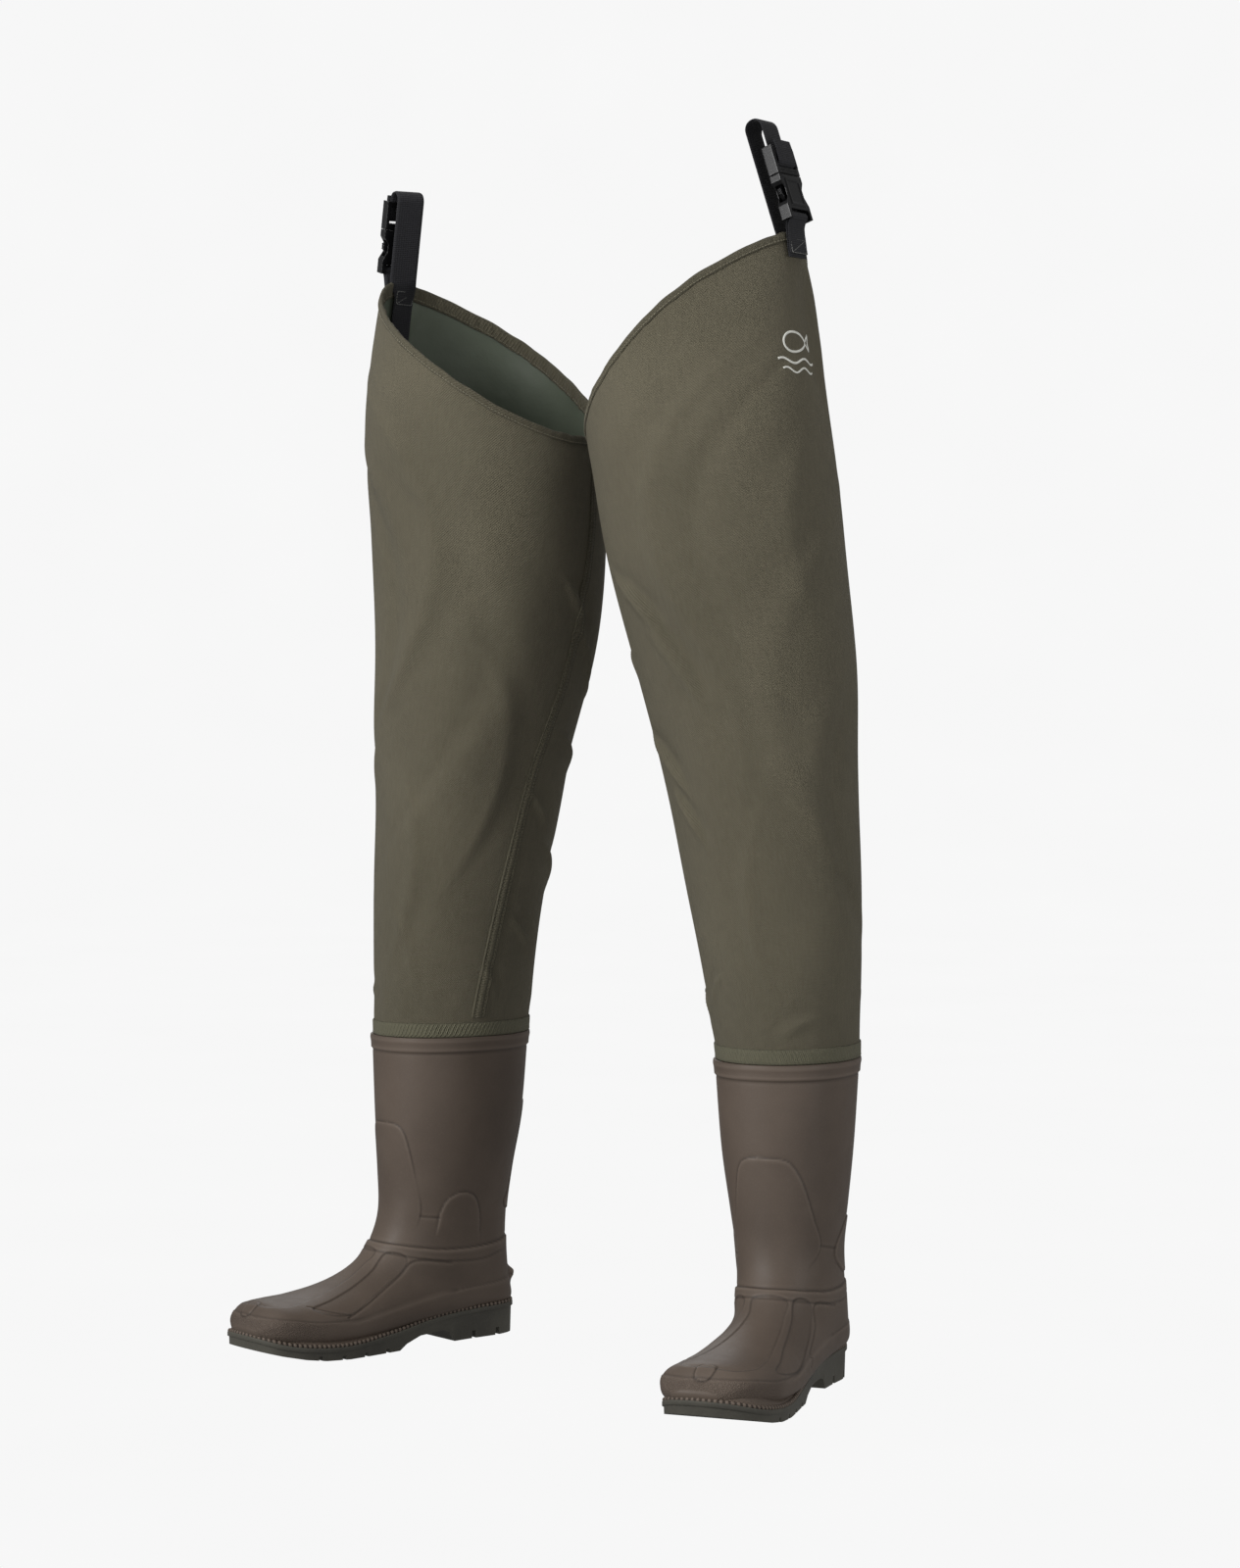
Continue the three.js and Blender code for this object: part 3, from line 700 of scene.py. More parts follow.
def make_upper(side):
    """The moulded boot: outer skin with its relief, rounded lip and inner skin."""
    columns = 300
    angle = round_turn(columns)
    angle = np.where(angle > np.pi, angle - TURN, angle)
    sections = even_sections(0, LAST_SECTION, 1.35)
    section_grid, angle_grid = np.meshgrid(sections, angle, indexing="ij")
    points = upper_point(section_grid, angle_grid)
    normal = np.cross(np.gradient(points, axis=1), np.gradient(points, axis=0))
    normal /= np.linalg.norm(normal, axis=-1, keepdims=True) + 1e-9
    outward = np.sign(((points - points.mean(1, keepdims=True)) * normal).sum(-1).mean())
    flat = points.reshape(-1, 3)
    out, sunk = upper_relief(section_grid.ravel(), angle_grid.ravel(), flat)
    out = out.reshape(section_grid.shape)
    skin = points + outward * normal * out[..., None]
    middle = skin[-1].mean(0)
    dome = [
        middle + (skin[-1] - middle) * share + (0, -forward, 0)
        for share, forward in ((0.86, 0.9), (0.6, 1.9), (0.3, 2.5))
    ]
    outer = np.concatenate([skin, dome])[::-1]
    lip = [
        upper_point(np.zeros(columns), angle, inset) + (0, 0, up)
        for inset, up in ((-1.4, 0.1), (-0.7, 0.7), (2.2, 0.7), (BOOT_WALL, 0))
    ]
    inner_sections = even_sections(0.05, 12, 5)
    inner = np.stack([upper_point(np.full(columns, s), angle, BOOT_WALL) for s in inner_sections])
    rings = np.concatenate([outer, lip, inner])
    piece = grid_object(f"{side}_upper", boot_space(rings, side), [RUBBER], caps=True)

    # Raised edges of the relief, marked for lightening in the material: painted highlight, partly rubbed
    # wear.
    blurred = out.copy()
    for _ in range(3):
        blurred = (blurred + np.roll(blurred, 1, 1) + np.roll(blurred, -1, 1)) / 3
        blurred[1:-1] = (blurred[1:-1] + blurred[:-2] + blurred[2:]) / 3
    edge_wear_and_highlight = np.clip((out - blurred) * 3.5, 0, 1)
    y, z = flat[:, 1], flat[:, 2]
    grain = smooth(-0.5, 1.5, rand_height(y)[:, 0] - z) * smooth(-150, -172, y)
    before = len(dome) * columns
    after = len(piece.data.vertices) - before - out.size
    for name, values in (("edge_wear_and_highlight", edge_wear_and_highlight), ("sunk", sunk), ("grain", grain)):
        painted = values.reshape(out.shape)[::-1].ravel()
        paint(piece, name, np.concatenate([np.zeros(before), painted, np.zeros(after)]))
    return fit(piece, side, ("boot_shaft", "boot_vamp"), "boot")


# ---- outsole --------------------------------------------------------------------
# The outline seen from above, x and y, and the underside seen from the side, y and height.
SOLE_PLAN = [
    [6, 60], [28, 54], [39, 34], [39, 0], [40, -45], [46, -95], [51, -135], [52, -168], [46, -197],
    [29, -215], [-1, -220], [-26, -212], [-36, -190], [-40, -160], [-39, -125], [-35, -85], [-29, -40],
    [-26, 0], [-25, 34], [-16, 54],
]
SOLE_BOTTOM = [
    [61, 0], [-16, 0], [-22, 9], [-30, 11], [-56, 10], [-72, 5], [-80, 0], [-135, 0], [-160, 1.5],
    [-180, 4.5], [-200, 9], [-222, 15],
]
# The side wall from the top in: how far down and how far out.
SOLE_EDGE = [(0, -2.4), (0, 0.4), (0.5, 0.9), (3.6, 0.9), (4.1, 0.5), (4.5, -0.5)]
# Gaps between the lugs: y, width and depth.
LUG_GAPS = [(y, 5.0, 6.5) for y in (6, 32)] + [(y, 4.5, 3.6) for y in (-94, -118, -142, -166)]
# Half the width of the solids that carve the sole.
BEYOND_SOLE = 70


def sole_outline(inset, pitch):
    """The outsole's plan outline, drawn in by inset, with its outward directions."""
    line = rounded(SOLE_PLAN, steps=24)
    line = spaced(np.concatenate([line, line[:1]]), pitch)[:-1]
    along = np.roll(line, -1, 0) - np.roll(line, 1, 0)
    outward = np.stack([-along[:, 1], along[:, 0]], -1)
    outward /= np.linalg.norm(outward, axis=1, keepdims=True)
    centre = line.mean(0)
    if ((line - centre) * outward).sum() < 0:
        outward = -outward
    return line - outward * inset, outward


def prism(outline):
    """A solid wider than the sole; its outline is given as y and height."""
    count = len(outline)
    low = [(-BEYOND_SOLE, y, z) for y, z in outline]
    high = [(BEYOND_SOLE, y, z) for y, z in outline]
    faces = [[i, (i + 1) % count, count + (i + 1) % count, count + i] for i in range(count)]
    faces += [list(range(count)), list(range(count, 2 * count))]
    return outwards(make_object("prism", low + high, faces, [SOLE], smooth_shading=False))


def carve(piece, tool, operation):
    """Joins a solid to a piece or cuts it out, and removes the solid."""
    modifier = piece.modifiers.new("carve", "BOOLEAN")
    modifier.operation = operation
    modifier.solver = "EXACT"
    modifier.object = tool
    apply_modifiers(piece)
    bpy.data.objects.remove(tool)


def apply_modifiers(piece):
    """Turns a piece's modifiers into its mesh."""
    graph = bpy.context.evaluated_depsgraph_get()
    mesh = bpy.data.meshes.new_from_object(piece.evaluated_get(graph))
    piece.modifiers.clear()
    old = piece.data
    piece.data = mesh
    bpy.data.meshes.remove(old)


def make_outsole(side):
    """The outsole: a plate carved to its underside, with gaps between the lugs."""
    line, outward = sole_outline(0, 3.0)
    top = footbed(line[:, 1])[:, 0]
    rows = [np.column_stack([line + outward * out, top - drop]) for drop, out in SOLE_EDGE]
    rows.append(np.column_stack([line - outward * 1.2, np.full(len(line), -2.0)]))
    piece = grid_object(f"{side}_sole", np.stack(rows), [SOLE], caps=True)
    piece.data.shade_flat()
    carve(piece, prism(SOLE_BOTTOM + [[-222, 60], [61, 60]]), "INTERSECT")
    bottom_y, bottom_z = np.array(SOLE_BOTTOM).T
    for y, width, depth in LUG_GAPS:
        roof = np.interp(-y, -bottom_y, bottom_z) + depth
        half, draft = width / 2, 0.6
        gap = [(y - half, -3), (y + half, -3), (y + half - draft, roof), (y - half + draft, roof)]
        carve(piece, prism(gap), "DIFFERENCE")
    spots = boot_space(np.array([vertex.co for vertex in piece.data.vertices]), side)
    piece.data.vertices.foreach_set("co", spots.ravel().astype(np.float32))
    outwards(piece)
    bevel = piece.modifiers.new("soft edges", "BEVEL")
    bevel.width = 0.6 * MM
    bevel.segments = 2
    bevel.limit_method = "ANGLE"
    bevel.angle_limit = math.radians(40)
    apply_modifiers(piece)
    piece.data.shade_smooth()
    piece.data.set_sharp_from_angle(angle=math.radians(40))
    return fit(piece, side, ["outsole"], "boot")


def make_welt(side):
    """The moulded row of small teeth round the outsole, and the strip behind it under the upper."""
    pitch, tooth_pitch = 0.55, 4.6
    line, outward = sole_outline(1.6, pitch)
    around_sole = len(line) * pitch
    teeth = round(around_sole / tooth_pitch)
    phase = np.arange(len(line)) * pitch / around_sole * teeth * TURN
    tooth = smooth(-0.5, 0.2, np.cos(phase))
    top = footbed(line[:, 1])[:, 0]
    rings = []
    turns = np.linspace(-0.5 * np.pi, 0.5 * np.pi, 7)
    for turn in turns:
        out = 0.4 + (1.2 + 0.7 * tooth) * np.cos(turn)
        up = 1.1 + (1.0 + 0.9 * tooth) * np.sin(turn)
        rings.append(np.column_stack([line + outward * out[:, None], top + up]))
    toe = smooth(-150, -190, line[:, 1])
    strip = ((0.6, 2.9), (1.4, 4.6), (3.0, 7.4), (6.0, 9.5), (9.0, 9.8), (12.0, 6.0), (10.0, 0.5))
    for inset, rise in strip:
        rings.append(np.column_stack([line - outward * inset, top + 0.6 * rise + 0.4 * rise * toe]))
    piece = grid_object(f"{side}_welt", boot_space(np.stack(rings), side), [RUBBER], closed=True)
    share = np.repeat([1.0, 0.0], [len(turns), len(strip)])[:, None]
    # Painted shade: the gaps between the teeth are darkened.
    paint(piece, "sunk", 0.95 * (1 - tooth) * share)
    # Painted highlight, partly rubbed wear: the tooth tips are lightened.
    paint(piece, "edge_wear_and_highlight", 0.9 * tooth * share)
    return fit(piece, side, body="boot")


def make_sock(side):
    """The knitted lining of the shaft."""
    columns = 120
    angle = round_turn(columns)
    steps = np.linspace(0.3, 5.6, 70)
    skin = [upper_point(np.full(columns, s), angle, BOOT_WALL + 0.4) for s in steps[::-1]]
    face = [
        upper_point(np.full(columns, s), angle, BOOT_WALL + 1.4)
        + (0.25 * np.sin(9 * s + 5 * angle))[:, None] * (1, 0, 0)
        for s in steps
    ]
    rings = boot_space(np.stack(skin + face), side)
    run = np.concatenate([-steps[::-1], steps]) * 0.04
    uv = layout(run, np.linspace(0, 0.4, columns + 1))
    piece = grid_object(f"{side}_sock", rings, [KNIT], closed=True, uv=uv)
    return fit(piece, side, ["boot_lining"], "boot")


def make_footpad(side):
    """The insole, dished and raised round its edge."""
    across = np.linspace(-1, 1, 22)
    plan, _ = sole_outline(7.5, 2.0)
    rows = []
    for y in np.linspace(-205, 50, 50):
        near = plan[np.abs(plan[:, 1] - y) < 4]
        low, high = near[:, 0].min(), near[:, 0].max()
        x = low + (high - low) * (across + 1) / 2
        rise = footbed(np.array([y]))[0, 0] + 4.5
        dish = 2.6 + 1.8 * np.abs(across) ** 3 + 0.4 * np.sin(y / 9) * (1 - across**2)
        top = np.column_stack([x, np.full_like(x, y), rise + dish])
        base = np.column_stack([x, np.full_like(x, y), np.full_like(x, rise - 1.2)])
        rows.append(np.concatenate([top, base[::-1]]))
    piece = grid_object(f"{side}_footpad", boot_space(np.stack(rows), side), [KNIT], caps=True)
    vertex_layout(piece, np.array([vertex.co[:2] for vertex in piece.data.vertices]))
    fit(piece, side, ["insole"], "boot")
    return piece


# ---- cloth leg ------------------------------------------------------------------
# Rings up the leg: height, middle x and y, half width, half depth, turn in degrees and how much the
# outside is drawn in.
leg_sections = between([
    [250, BOOT_X, BOOT_Y, 57, 73, 14.6, 0], [272, BOOT_X, BOOT_Y, 57, 73, 14.6, 0],
    [300, 176.5, 32, 59.5, 74, 14.2, 0], [400, 167, 31, 70, 79, 11, 0], [500, 154, 30, 80, 86, 7, 0],
    [600, 137, 29, 93, 96, 4, 0], [700, 124, 18, 102, 99, 2, 0.02], [800, 118, 2, 105, 95, 0, 0.05],
    [880, 112, -1, 103, 94, 0, 0.2], [960, 104, -3, 98, 92, 0, 0.45],
])
MEAN_RADIUS = 88
SHAFT_RADIUS = 65
# The inseam runs between these angles, over these heights.
INSEAM_ANGLES = (-78, -104)
INSEAM_TOP = 748
INSEAM_START = 287

# Folds in the cloth: middle (angle in degrees from the front, height), slope of its line in
# degrees from level, half length, half width and height, all in mm.
FOLDS = {
    "left": [
        (-22, 640, -48, 52, 8, 5.2), (-6, 594, -60, 50, 9, 5.0), (-36, 512, -40, 50, 8, 5.2),
        (-26, 470, -52, 40, 7, 4.2), (-72, 604, -30, 40, 8, 3.4), (-86, 452, 30, 30, 8, 2.6),
        (-34, 330, 38, 30, 6, 2.2), (-70, 318, -30, 26, 6, 2.4), (30, 300, 18, 40, 7, 1.6),
        (20, 560, -80, 90, 14, 1.8), (62, 700, 86, 120, 16, 1.6), (160, 545, 22, 52, 11, 3.2),
        (178, 500, -26, 50, 10, 3.4), (-150, 470, 32, 44, 10, 2.8), (150, 440, -40, 40, 9, 2.2),
        (106, 868, 84, 90, 13, 3.4), (-4, 700, 88, 190, 17, 2.8), (17, 690, 88, 200, 16, -2.6),
        (40, 560, 88, 230, 22, 2.2), (70, 480, 88, 150, 18, -1.8), (8, 400, 86, 110, 14, 2.0),
        (128, 330, 34, 30, 7, 1.8), (-140, 320, -32, 30, 7, 2.0),
    ],
    "right": [
        (-12, 680, 89, 210, 17, 2.8), (12, 640, 89, 230, 16, -2.8), (-44, 600, 87, 220, 20, -2.0),
        (-20, 420, 88, 120, 15, 2.0), (-66, 520, 84, 160, 15, 1.8),
        (-112, 600, 52, 52, 9, 4.4), (-96, 640, 58, 44, 8, 3.4), (-120, 520, 30, 40, 9, 4.0),
        (-104, 466, 44, 36, 7, 3.6), (-128, 420, 40, 46, 9, 3.6), (-112, 352, 42, 40, 7, 3.6),
        (-84, 320, 50, 26, 6, 1.6), (-20, 352, 60, 60, 12, 1.2), (96, 540, 62, 70, 14, 2.2),
        (122, 520, -34, 46, 10, 2.6), (160, 545, 22, 52, 11, 3.0), (178, 500, -26, 50, 10, 3.4),
        (150, 430, -40, 40, 9, 2.2), (-150, 560, 36, 44, 10, 2.8), (104, 870, 82, 60, 8, 2.2),
        (40, 306, -16, 40, 7, 1.2), (140, 330, 34, 30, 7, 1.8),
    ],
}


def slack(side, height, angle):
    """How far the cloth stands out from its plain shape, in mm."""
    height, angle = np.asarray(height, float), np.asarray(angle, float)
    total = np.zeros(np.broadcast(height, angle).shape)
    for middle, level, slope, length, width, rise in FOLDS[side]:
        turn = (angle - math.radians(middle) + np.pi) % TURN - np.pi
        u, v = turn * MEAN_RADIUS, height - level
        tilt = math.radians(slope)
        along = u * math.cos(tilt) + v * math.sin(tilt)
        across = -u * math.sin(tilt) + v * math.cos(tilt) + 0.0035 * along**2
        taper = smooth(1, 0.15, np.abs(along) / length)
        narrow = width * (0.55 + 0.45 * taper)
        ridge = bump(across, narrow * 0.62) - 0.6 * bump(across - 1.25 * narrow, narrow)
        total += rise * taper * ridge
    phase = 0 if side == "left" else 1.9
    sway = np.sin(3 * angle + height / 61 + phase) * np.sin(height / 83 + phase)
    sway += 0.6 * np.sin(5 * angle - height / 47 + 2 * phase) * np.sin(height / 39 + 1)
    knee = bump(height - 500, 110)
    ankle = bump(height - 296, 16)
    total += sway * (0.6 + 0.9 * knee) * smooth(CUFF + 12, CUFF + 60, height)
    total += 1.3 * np.sin(4 * angle + height / 240 + phase) * smooth(CUFF + 40, CUFF + 160, height)
    total += ankle * 0.7 * np.sin(11 * angle + phase) * np.sin(6 * angle + 1)
    return total * smooth(CUFF + 14, CUFF + 34, height)


def leg_point(side, height, angle, out=0.0, folds=True):
    """A point on the leg in model millimetres; the angle runs from the front round the outside."""
    sign = SIDES[side]
    row = leg_sections(height)
    x, y, half_width, half_depth = (row[..., k] for k in range(4))
    yaw, pinch = np.radians(row[..., 4]), row[..., 5]
    push = out + slack(side, height, angle) * calm(side, height, angle) if folds else out
    across = np.sin(angle) * (half_width + push)
    narrowed = 1 - pinch * np.maximum(0, np.sin(angle)) ** 2
    ahead = -np.cos(angle) * (half_depth * narrowed + push)
    return np.stack([
        sign * (x + across * np.cos(yaw) - ahead * np.sin(yaw)),
        y + across * np.sin(yaw) + ahead * np.cos(yaw),
        np.broadcast_to(height, across.shape),
    ], -1)


def rim_height(side, angle):
    """The height of the rim's sloping plane, found by stepping towards it."""
    middle_x, middle_height, slope = RIMS[side]
    height = np.full(np.shape(angle), float(middle_height))
    for _ in range(12):
        x = SIDES[side] * leg_point(side, height, angle, folds=False)[..., 0]
        height = middle_height + (x - middle_x) * math.tan(math.radians(slope))
    return height


RIM_ANGLES = np.linspace(0, TURN, 181)
RIM_CURVES = {side: between(np.column_stack([RIM_ANGLES, rim_height(side, RIM_ANGLES)])) for side in SIDES}


def rim(side, angle):
    """The rim's height at any angle."""
    return RIM_CURVES[side](np.mod(angle, TURN))[..., 0]


def calm(side, height, angle):
    """Folds fade out near the rim, where the hem holds the cloth."""
    return smooth(0, 45, rim(side, angle) - height)


def leg_rows(side, angle):
    """Heights from the boot to the rim, one row of heights for each ring."""
    top = KNEE + KNEE_REACH
    over_cuff = [CUFF - 15, CUFF - 7, CUFF + 0.4, CUFF + 2]
    lower = np.concatenate([over_cuff, np.linspace(CUFF + 4, top, 118)])
    rows = [np.full(len(angle), z) for z in lower]
    rows += [top + (rim(side, angle) - top) * part for part in np.linspace(0, 1, 96)[1:]]
    return np.stack(rows)


def make_leg(side):
    """The cloth from inside the boot's cuff up to the rim, and back down its coated inner face."""
    columns = 232
    angle = round_turn(columns)
    heights = leg_rows(side, angle)
    inside_boot = -(BOOT_WALL + 1.9)
    out = np.where(heights < CUFF + 1, inside_boot, 0)
    out = out + np.where(np.abs(heights - CUFF - 2) < 0.6, -1.4, 0)
    skin = leg_point(side, heights, angle[None] + 0 * heights, out)
    back = leg_point(side, heights, angle[None] + 0 * heights, out - CLOTH_WALL)
    rings = np.concatenate([skin, back[::-1]])
    turns = np.linspace(0, TURN, columns + 1) * MEAN_RADIUS * MM
    level = np.concatenate([heights, heights[::-1]]) * MM
    level = np.concatenate([level, level[:, :1]], 1)
    uv = np.stack([np.broadcast_to(turns, level.shape), level], -1)
    coated = np.zeros(len(rings), int)
    coated[len(heights) - 1:] = 1
    piece = grid_object(f"{side}_leg", model_space(rings), [CLOTH, COATING], closed=True,
                        uv=uv, material_rows=coated)
    blend_knee(piece)
    return fit(piece, side, ("leg_lower", "leg_knee", "leg_upper"))


def blend_knee(piece):
    """Bakes a piece's placement into its mesh."""
    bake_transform(piece)


def stitches(name, route, radius, material=THREAD, pitch=STITCH_PITCH, length=STITCH_LENGTH):
    """A row of small rounded stitches along a route in metres; the sizes are in mm."""
    route = spaced(route, pitch * MM)
    rows, faces = [], []
    sides, stations = 6, ((-0.5, 0.35), (-0.3, 0.9), (0.3, 0.9), (0.5, 0.35))
    for first, second in zip(route[:-1], route[1:]):
        middle, along = (first + second) / 2, second - first
        along = along / (np.linalg.norm(along) + 1e-12)
        across = np.cross(along, (0.31, 0.22, 0.92))
        across /= np.linalg.norm(across)
        up = np.cross(along, across)
        base = len(rows)
        for part, share in stations:
            for k in range(sides):
                turn = TURN * k / sides
                offset = (across * math.cos(turn) + up * math.sin(turn)) * radius * share * MM
                rows.append(middle + along * part * length * MM + offset)
        for ring in range(len(stations) - 1):
            for k in range(sides):
                low, high = base + ring * sides, base + (ring + 1) * sides
                faces.append([low + k, low + (k + 1) % sides, high + (k + 1) % sides, high + k])
        faces.append([base + k for k in range(sides)])
        faces.append([base + (len(stations) - 1) * sides + k for k in range(sides)])
    return outwards(make_object(name, np.array(rows).tolist(), faces, [material]))


def make_hem(side):
    """The hem folded over the rim, and its two rows of thread."""
    columns = 420
    angle = round_turn(columns)
    # The fold in section, from the outer face over the rim to the inner face: out and up.
    profile = [
        (0.1, -6), (0.7, -6.2), (0.95, -5.2), (0.85, -3.5), (1.0, -1.5), (0.7, 0.7), (-0.1, 1.5),
        (-1.0, 1.5), (-1.9, 0.7), (-2.3, -1), (-2.1, -6), (-2.3, -11), (-2.0, -12), (-1.35, -12),
        (-1.3, -0.4), (-0.6, 0.2), (0.05, -0.4),
    ]
    fine = 0.3 * np.sin(angle * 83 + 4 * np.sin(7 * angle))
    pucker = fine + 0.25 * np.sin(angle * 41 + 3 * np.sin(5 * angle))
    ripple = 0.5 * np.sin(angle * 23 + 2 * np.sin(4 * angle)) * np.sin(angle * 3)
    rings = []
    for out, up in profile:
        loose = 0.5 if out > 0 else 1.6 * smooth(-1.2, -2.2, out)
        height = rim(side, angle) + up + ripple
        rings.append(leg_point(side, height, angle, out + loose * (pucker - 0.4)))
    turns = np.linspace(0, TURN, columns + 1) * MEAN_RADIUS * MM
    uv = layout(np.arange(len(profile)) * 0.002, turns)
    piece = grid_object(f"{side}_edging", model_space(np.stack(rings)), [EDGING], closed=True, uv=uv)
    fit(piece, side, ["hem"], "thigh")
    rows = []
    for label, out, up in (("outside", 1.0, -4.4), ("inside", -2.9, -9.6)):
        ring = np.linspace(0, TURN, 700)
        route = model_space(leg_point(side, rim(side, ring) + up, ring, out))
        rows.append(stitches(f"{side}_hem_{label}", route, 0.42))
    fit(merge(f"{side}_hem_thread", rows), side, body="thigh")
    return piece


def inseam_angle(height):
    """The inseam turns slowly backwards on its way up."""
    low, high = INSEAM_ANGLES
    return np.radians(low + (high - low) * (height - CUFF) / (INSEAM_TOP - CUFF))


def inseam_line(side, count, offset, out):
    """A route beside the inseam, from the welded tape up to the hem."""
    top = INSEAM_TOP
    for _ in range(12):
        top = rim(side, inseam_angle(top)) - 3
    heights = np.linspace(INSEAM_START, top, count)
    angle = inseam_angle(heights) + offset / leg_sections(heights)[:, 2]
    return leg_point(side, heights, angle, out)


def make_inseam(side):
    """The raised inseam from the boot to the hem, and its two rows of thread."""
    # Half of the raised seam in section, from its edge to its middle: across and out.
    half = [(-5.4, -0.2), (-5.1, 0.8), (-4.5, 1.2), (-3.5, 1.1), (-2.9, 0.4), (-2.3, 1.2)]
    mirrored = [(-offset, out) for offset, out in half[::-1]]
    profile = half + [(0, 1.6)] + mirrored + [(3, -0.3), (0, -0.3), (-3, -0.3)]
    count = 300
    rings = np.stack([inseam_line(side, count, offset, out) for offset, out in profile], 1)
    uv = layout(np.linspace(0, 0.48, count), np.linspace(0, 0.012, len(profile) + 1))
    piece = grid_object(f"{side}_inseam", model_space(rings), [EDGING], uv=uv)
    blend_knee(piece)
    fit(piece, side, ("inseam_lower", "inseam_knee", "inseam_upper"))
    rows = [
        stitches(f"{side}_row_{offset:+.0f}", model_space(inseam_line(side, 500, offset, 0.7)), 0.4)
        for offset in (-2.9, 2.9)
    ]
    thread = merge(f"{side}_inseam_thread", rows)
    blend_knee(thread)
    return fit(thread, side)


def make_weld(side):
    """The welded tape that covers the line where the cloth leaves the boot."""
    columns = 240
    angle = round_turn(columns)
    profile = [
        (0.2, 0), (1.0, 0.1), (1.35, 1.0), (1.2, 3.0), (1.25, 8.0), (1.15, 11.6), (0.7, 12.4),
        (0.2, 12.5), (-0.1, 8), (-0.1, 4),
    ]
    rings = []
    for out, up in profile:
        wave = 0.25 * np.sin(7 * angle + up) * smooth(9, 12, up)
        rings.append(leg_point(side, np.full(columns, CUFF + 1.0 + up), angle, out + wave))
    turns = np.linspace(0, TURN, columns + 1) * SHAFT_RADIUS * MM
    uv = layout(np.arange(len(profile)) * 0.0018, turns)
    piece = grid_object(f"{side}_weld", model_space(np.stack(rings)), [TAPE], closed=True, uv=uv)
    return fit(piece, side, ["weld_band"], "boot")


MARK_ANGLE = math.radians(81.5)
MARK_HEIGHT = 836
MARK_SCALE = 1.7


def make_mark(side):
    """A small generic print: two waves under a plain fish outline."""
    def strip(label, route, width):
        route = np.array(route, float) * MARK_SCALE
        along = np.gradient(route, axis=0)
        along /= np.linalg.norm(along, axis=1, keepdims=True) + 1e-9
        normal = np.stack([-along[:, 1], along[:, 0]], -1) * width / 2
        rows = []
        for edge, out in ((1, 0.35), (-1, 0.35), (-1, 0.0), (1, 0.0)):
            u, v = (route + edge * normal).T
            rows.append(leg_point(side, MARK_HEIGHT + v, MARK_ANGLE + u / 100, out))
        return grid_object(label, model_space(np.stack(rows, 1)), [PRINT], caps=True)

    turn = np.linspace(0, TURN, 40)
    x = np.linspace(-15, 15, 40)
    body = np.stack([9 * np.cos(turn) - 2, 4.6 * np.sin(turn) * (1 - 0.25 * np.cos(turn)) + 9], -1)
    tail = np.array([[6.6, 9], [12, 12.8], [11, 9], [12, 5.2], [6.6, 9]])
    pieces = [
        strip("mark_a", body, 1.9), strip("mark_b", spaced(tail, 0.5), 1.8),
        strip("mark_c", np.stack([x, 1.2 * np.sin(x / 2.6)], -1), 1.8),
        strip("mark_d", np.stack([x * 0.8, 1.2 * np.sin(x / 2.6) - 4.4], -1), 1.5),
    ]
    return fit(merge(f"{side}_mark", pieces), side, body="thigh")


# ---- straps ---------------------------------------------------------------------
class StrapFrame:
    """The strap's own axes: the rim's peak, outwards, across and up the strap."""

    def __init__(self, side):
        sign = SIDES[side]
        self.origin = np.array(JOINTS[f"{side}_strap_swing"]["pos_m"])
        self.across = sign * np.array(JOINTS[f"{side}_strap_swing"]["axis"], float)
        self.up = np.array(JOINTS[f"{side}_buckle_release"]["axis"], float)
        self.out = sign * np.cross(self.across, self.up)
        self.out /= np.linalg.norm(self.out)
        peak = rim_height(side, np.array([np.pi / 2]))
        low = leg_point(side, peak - 20, np.array([np.pi / 2]), folds=False)[0]
        high = leg_point(side, peak, np.array([np.pi / 2]), folds=False)[0]
        self.sewn_up = (high - low) / np.linalg.norm(high - low)
        self.sewn_across = np.array([0.0, 1.0, 0.0])
        self.sewn_out = sign * np.cross(self.sewn_across, self.sewn_up)

    def axes(self, share):
        """Axes between the sewn part (share 0) and the free strap (share 1)."""
        across = self.sewn_across * (1 - share) + self.across * share
        across /= np.linalg.norm(across)
        up = self.sewn_up * (1 - share) + self.up * share
        up /= np.linalg.norm(up)
        out = self.sewn_out * (1 - share) + self.out * share
        return out / np.linalg.norm(out), across, up

    def point(self, x, z, share=1.0):
        out, _, up = self.axes(share)
        return self.origin + (x * out + z * up) * MM


RIB_PITCH = 1.7
RIB_LIFT = 0.16
YARN_WIDTH = 1.9


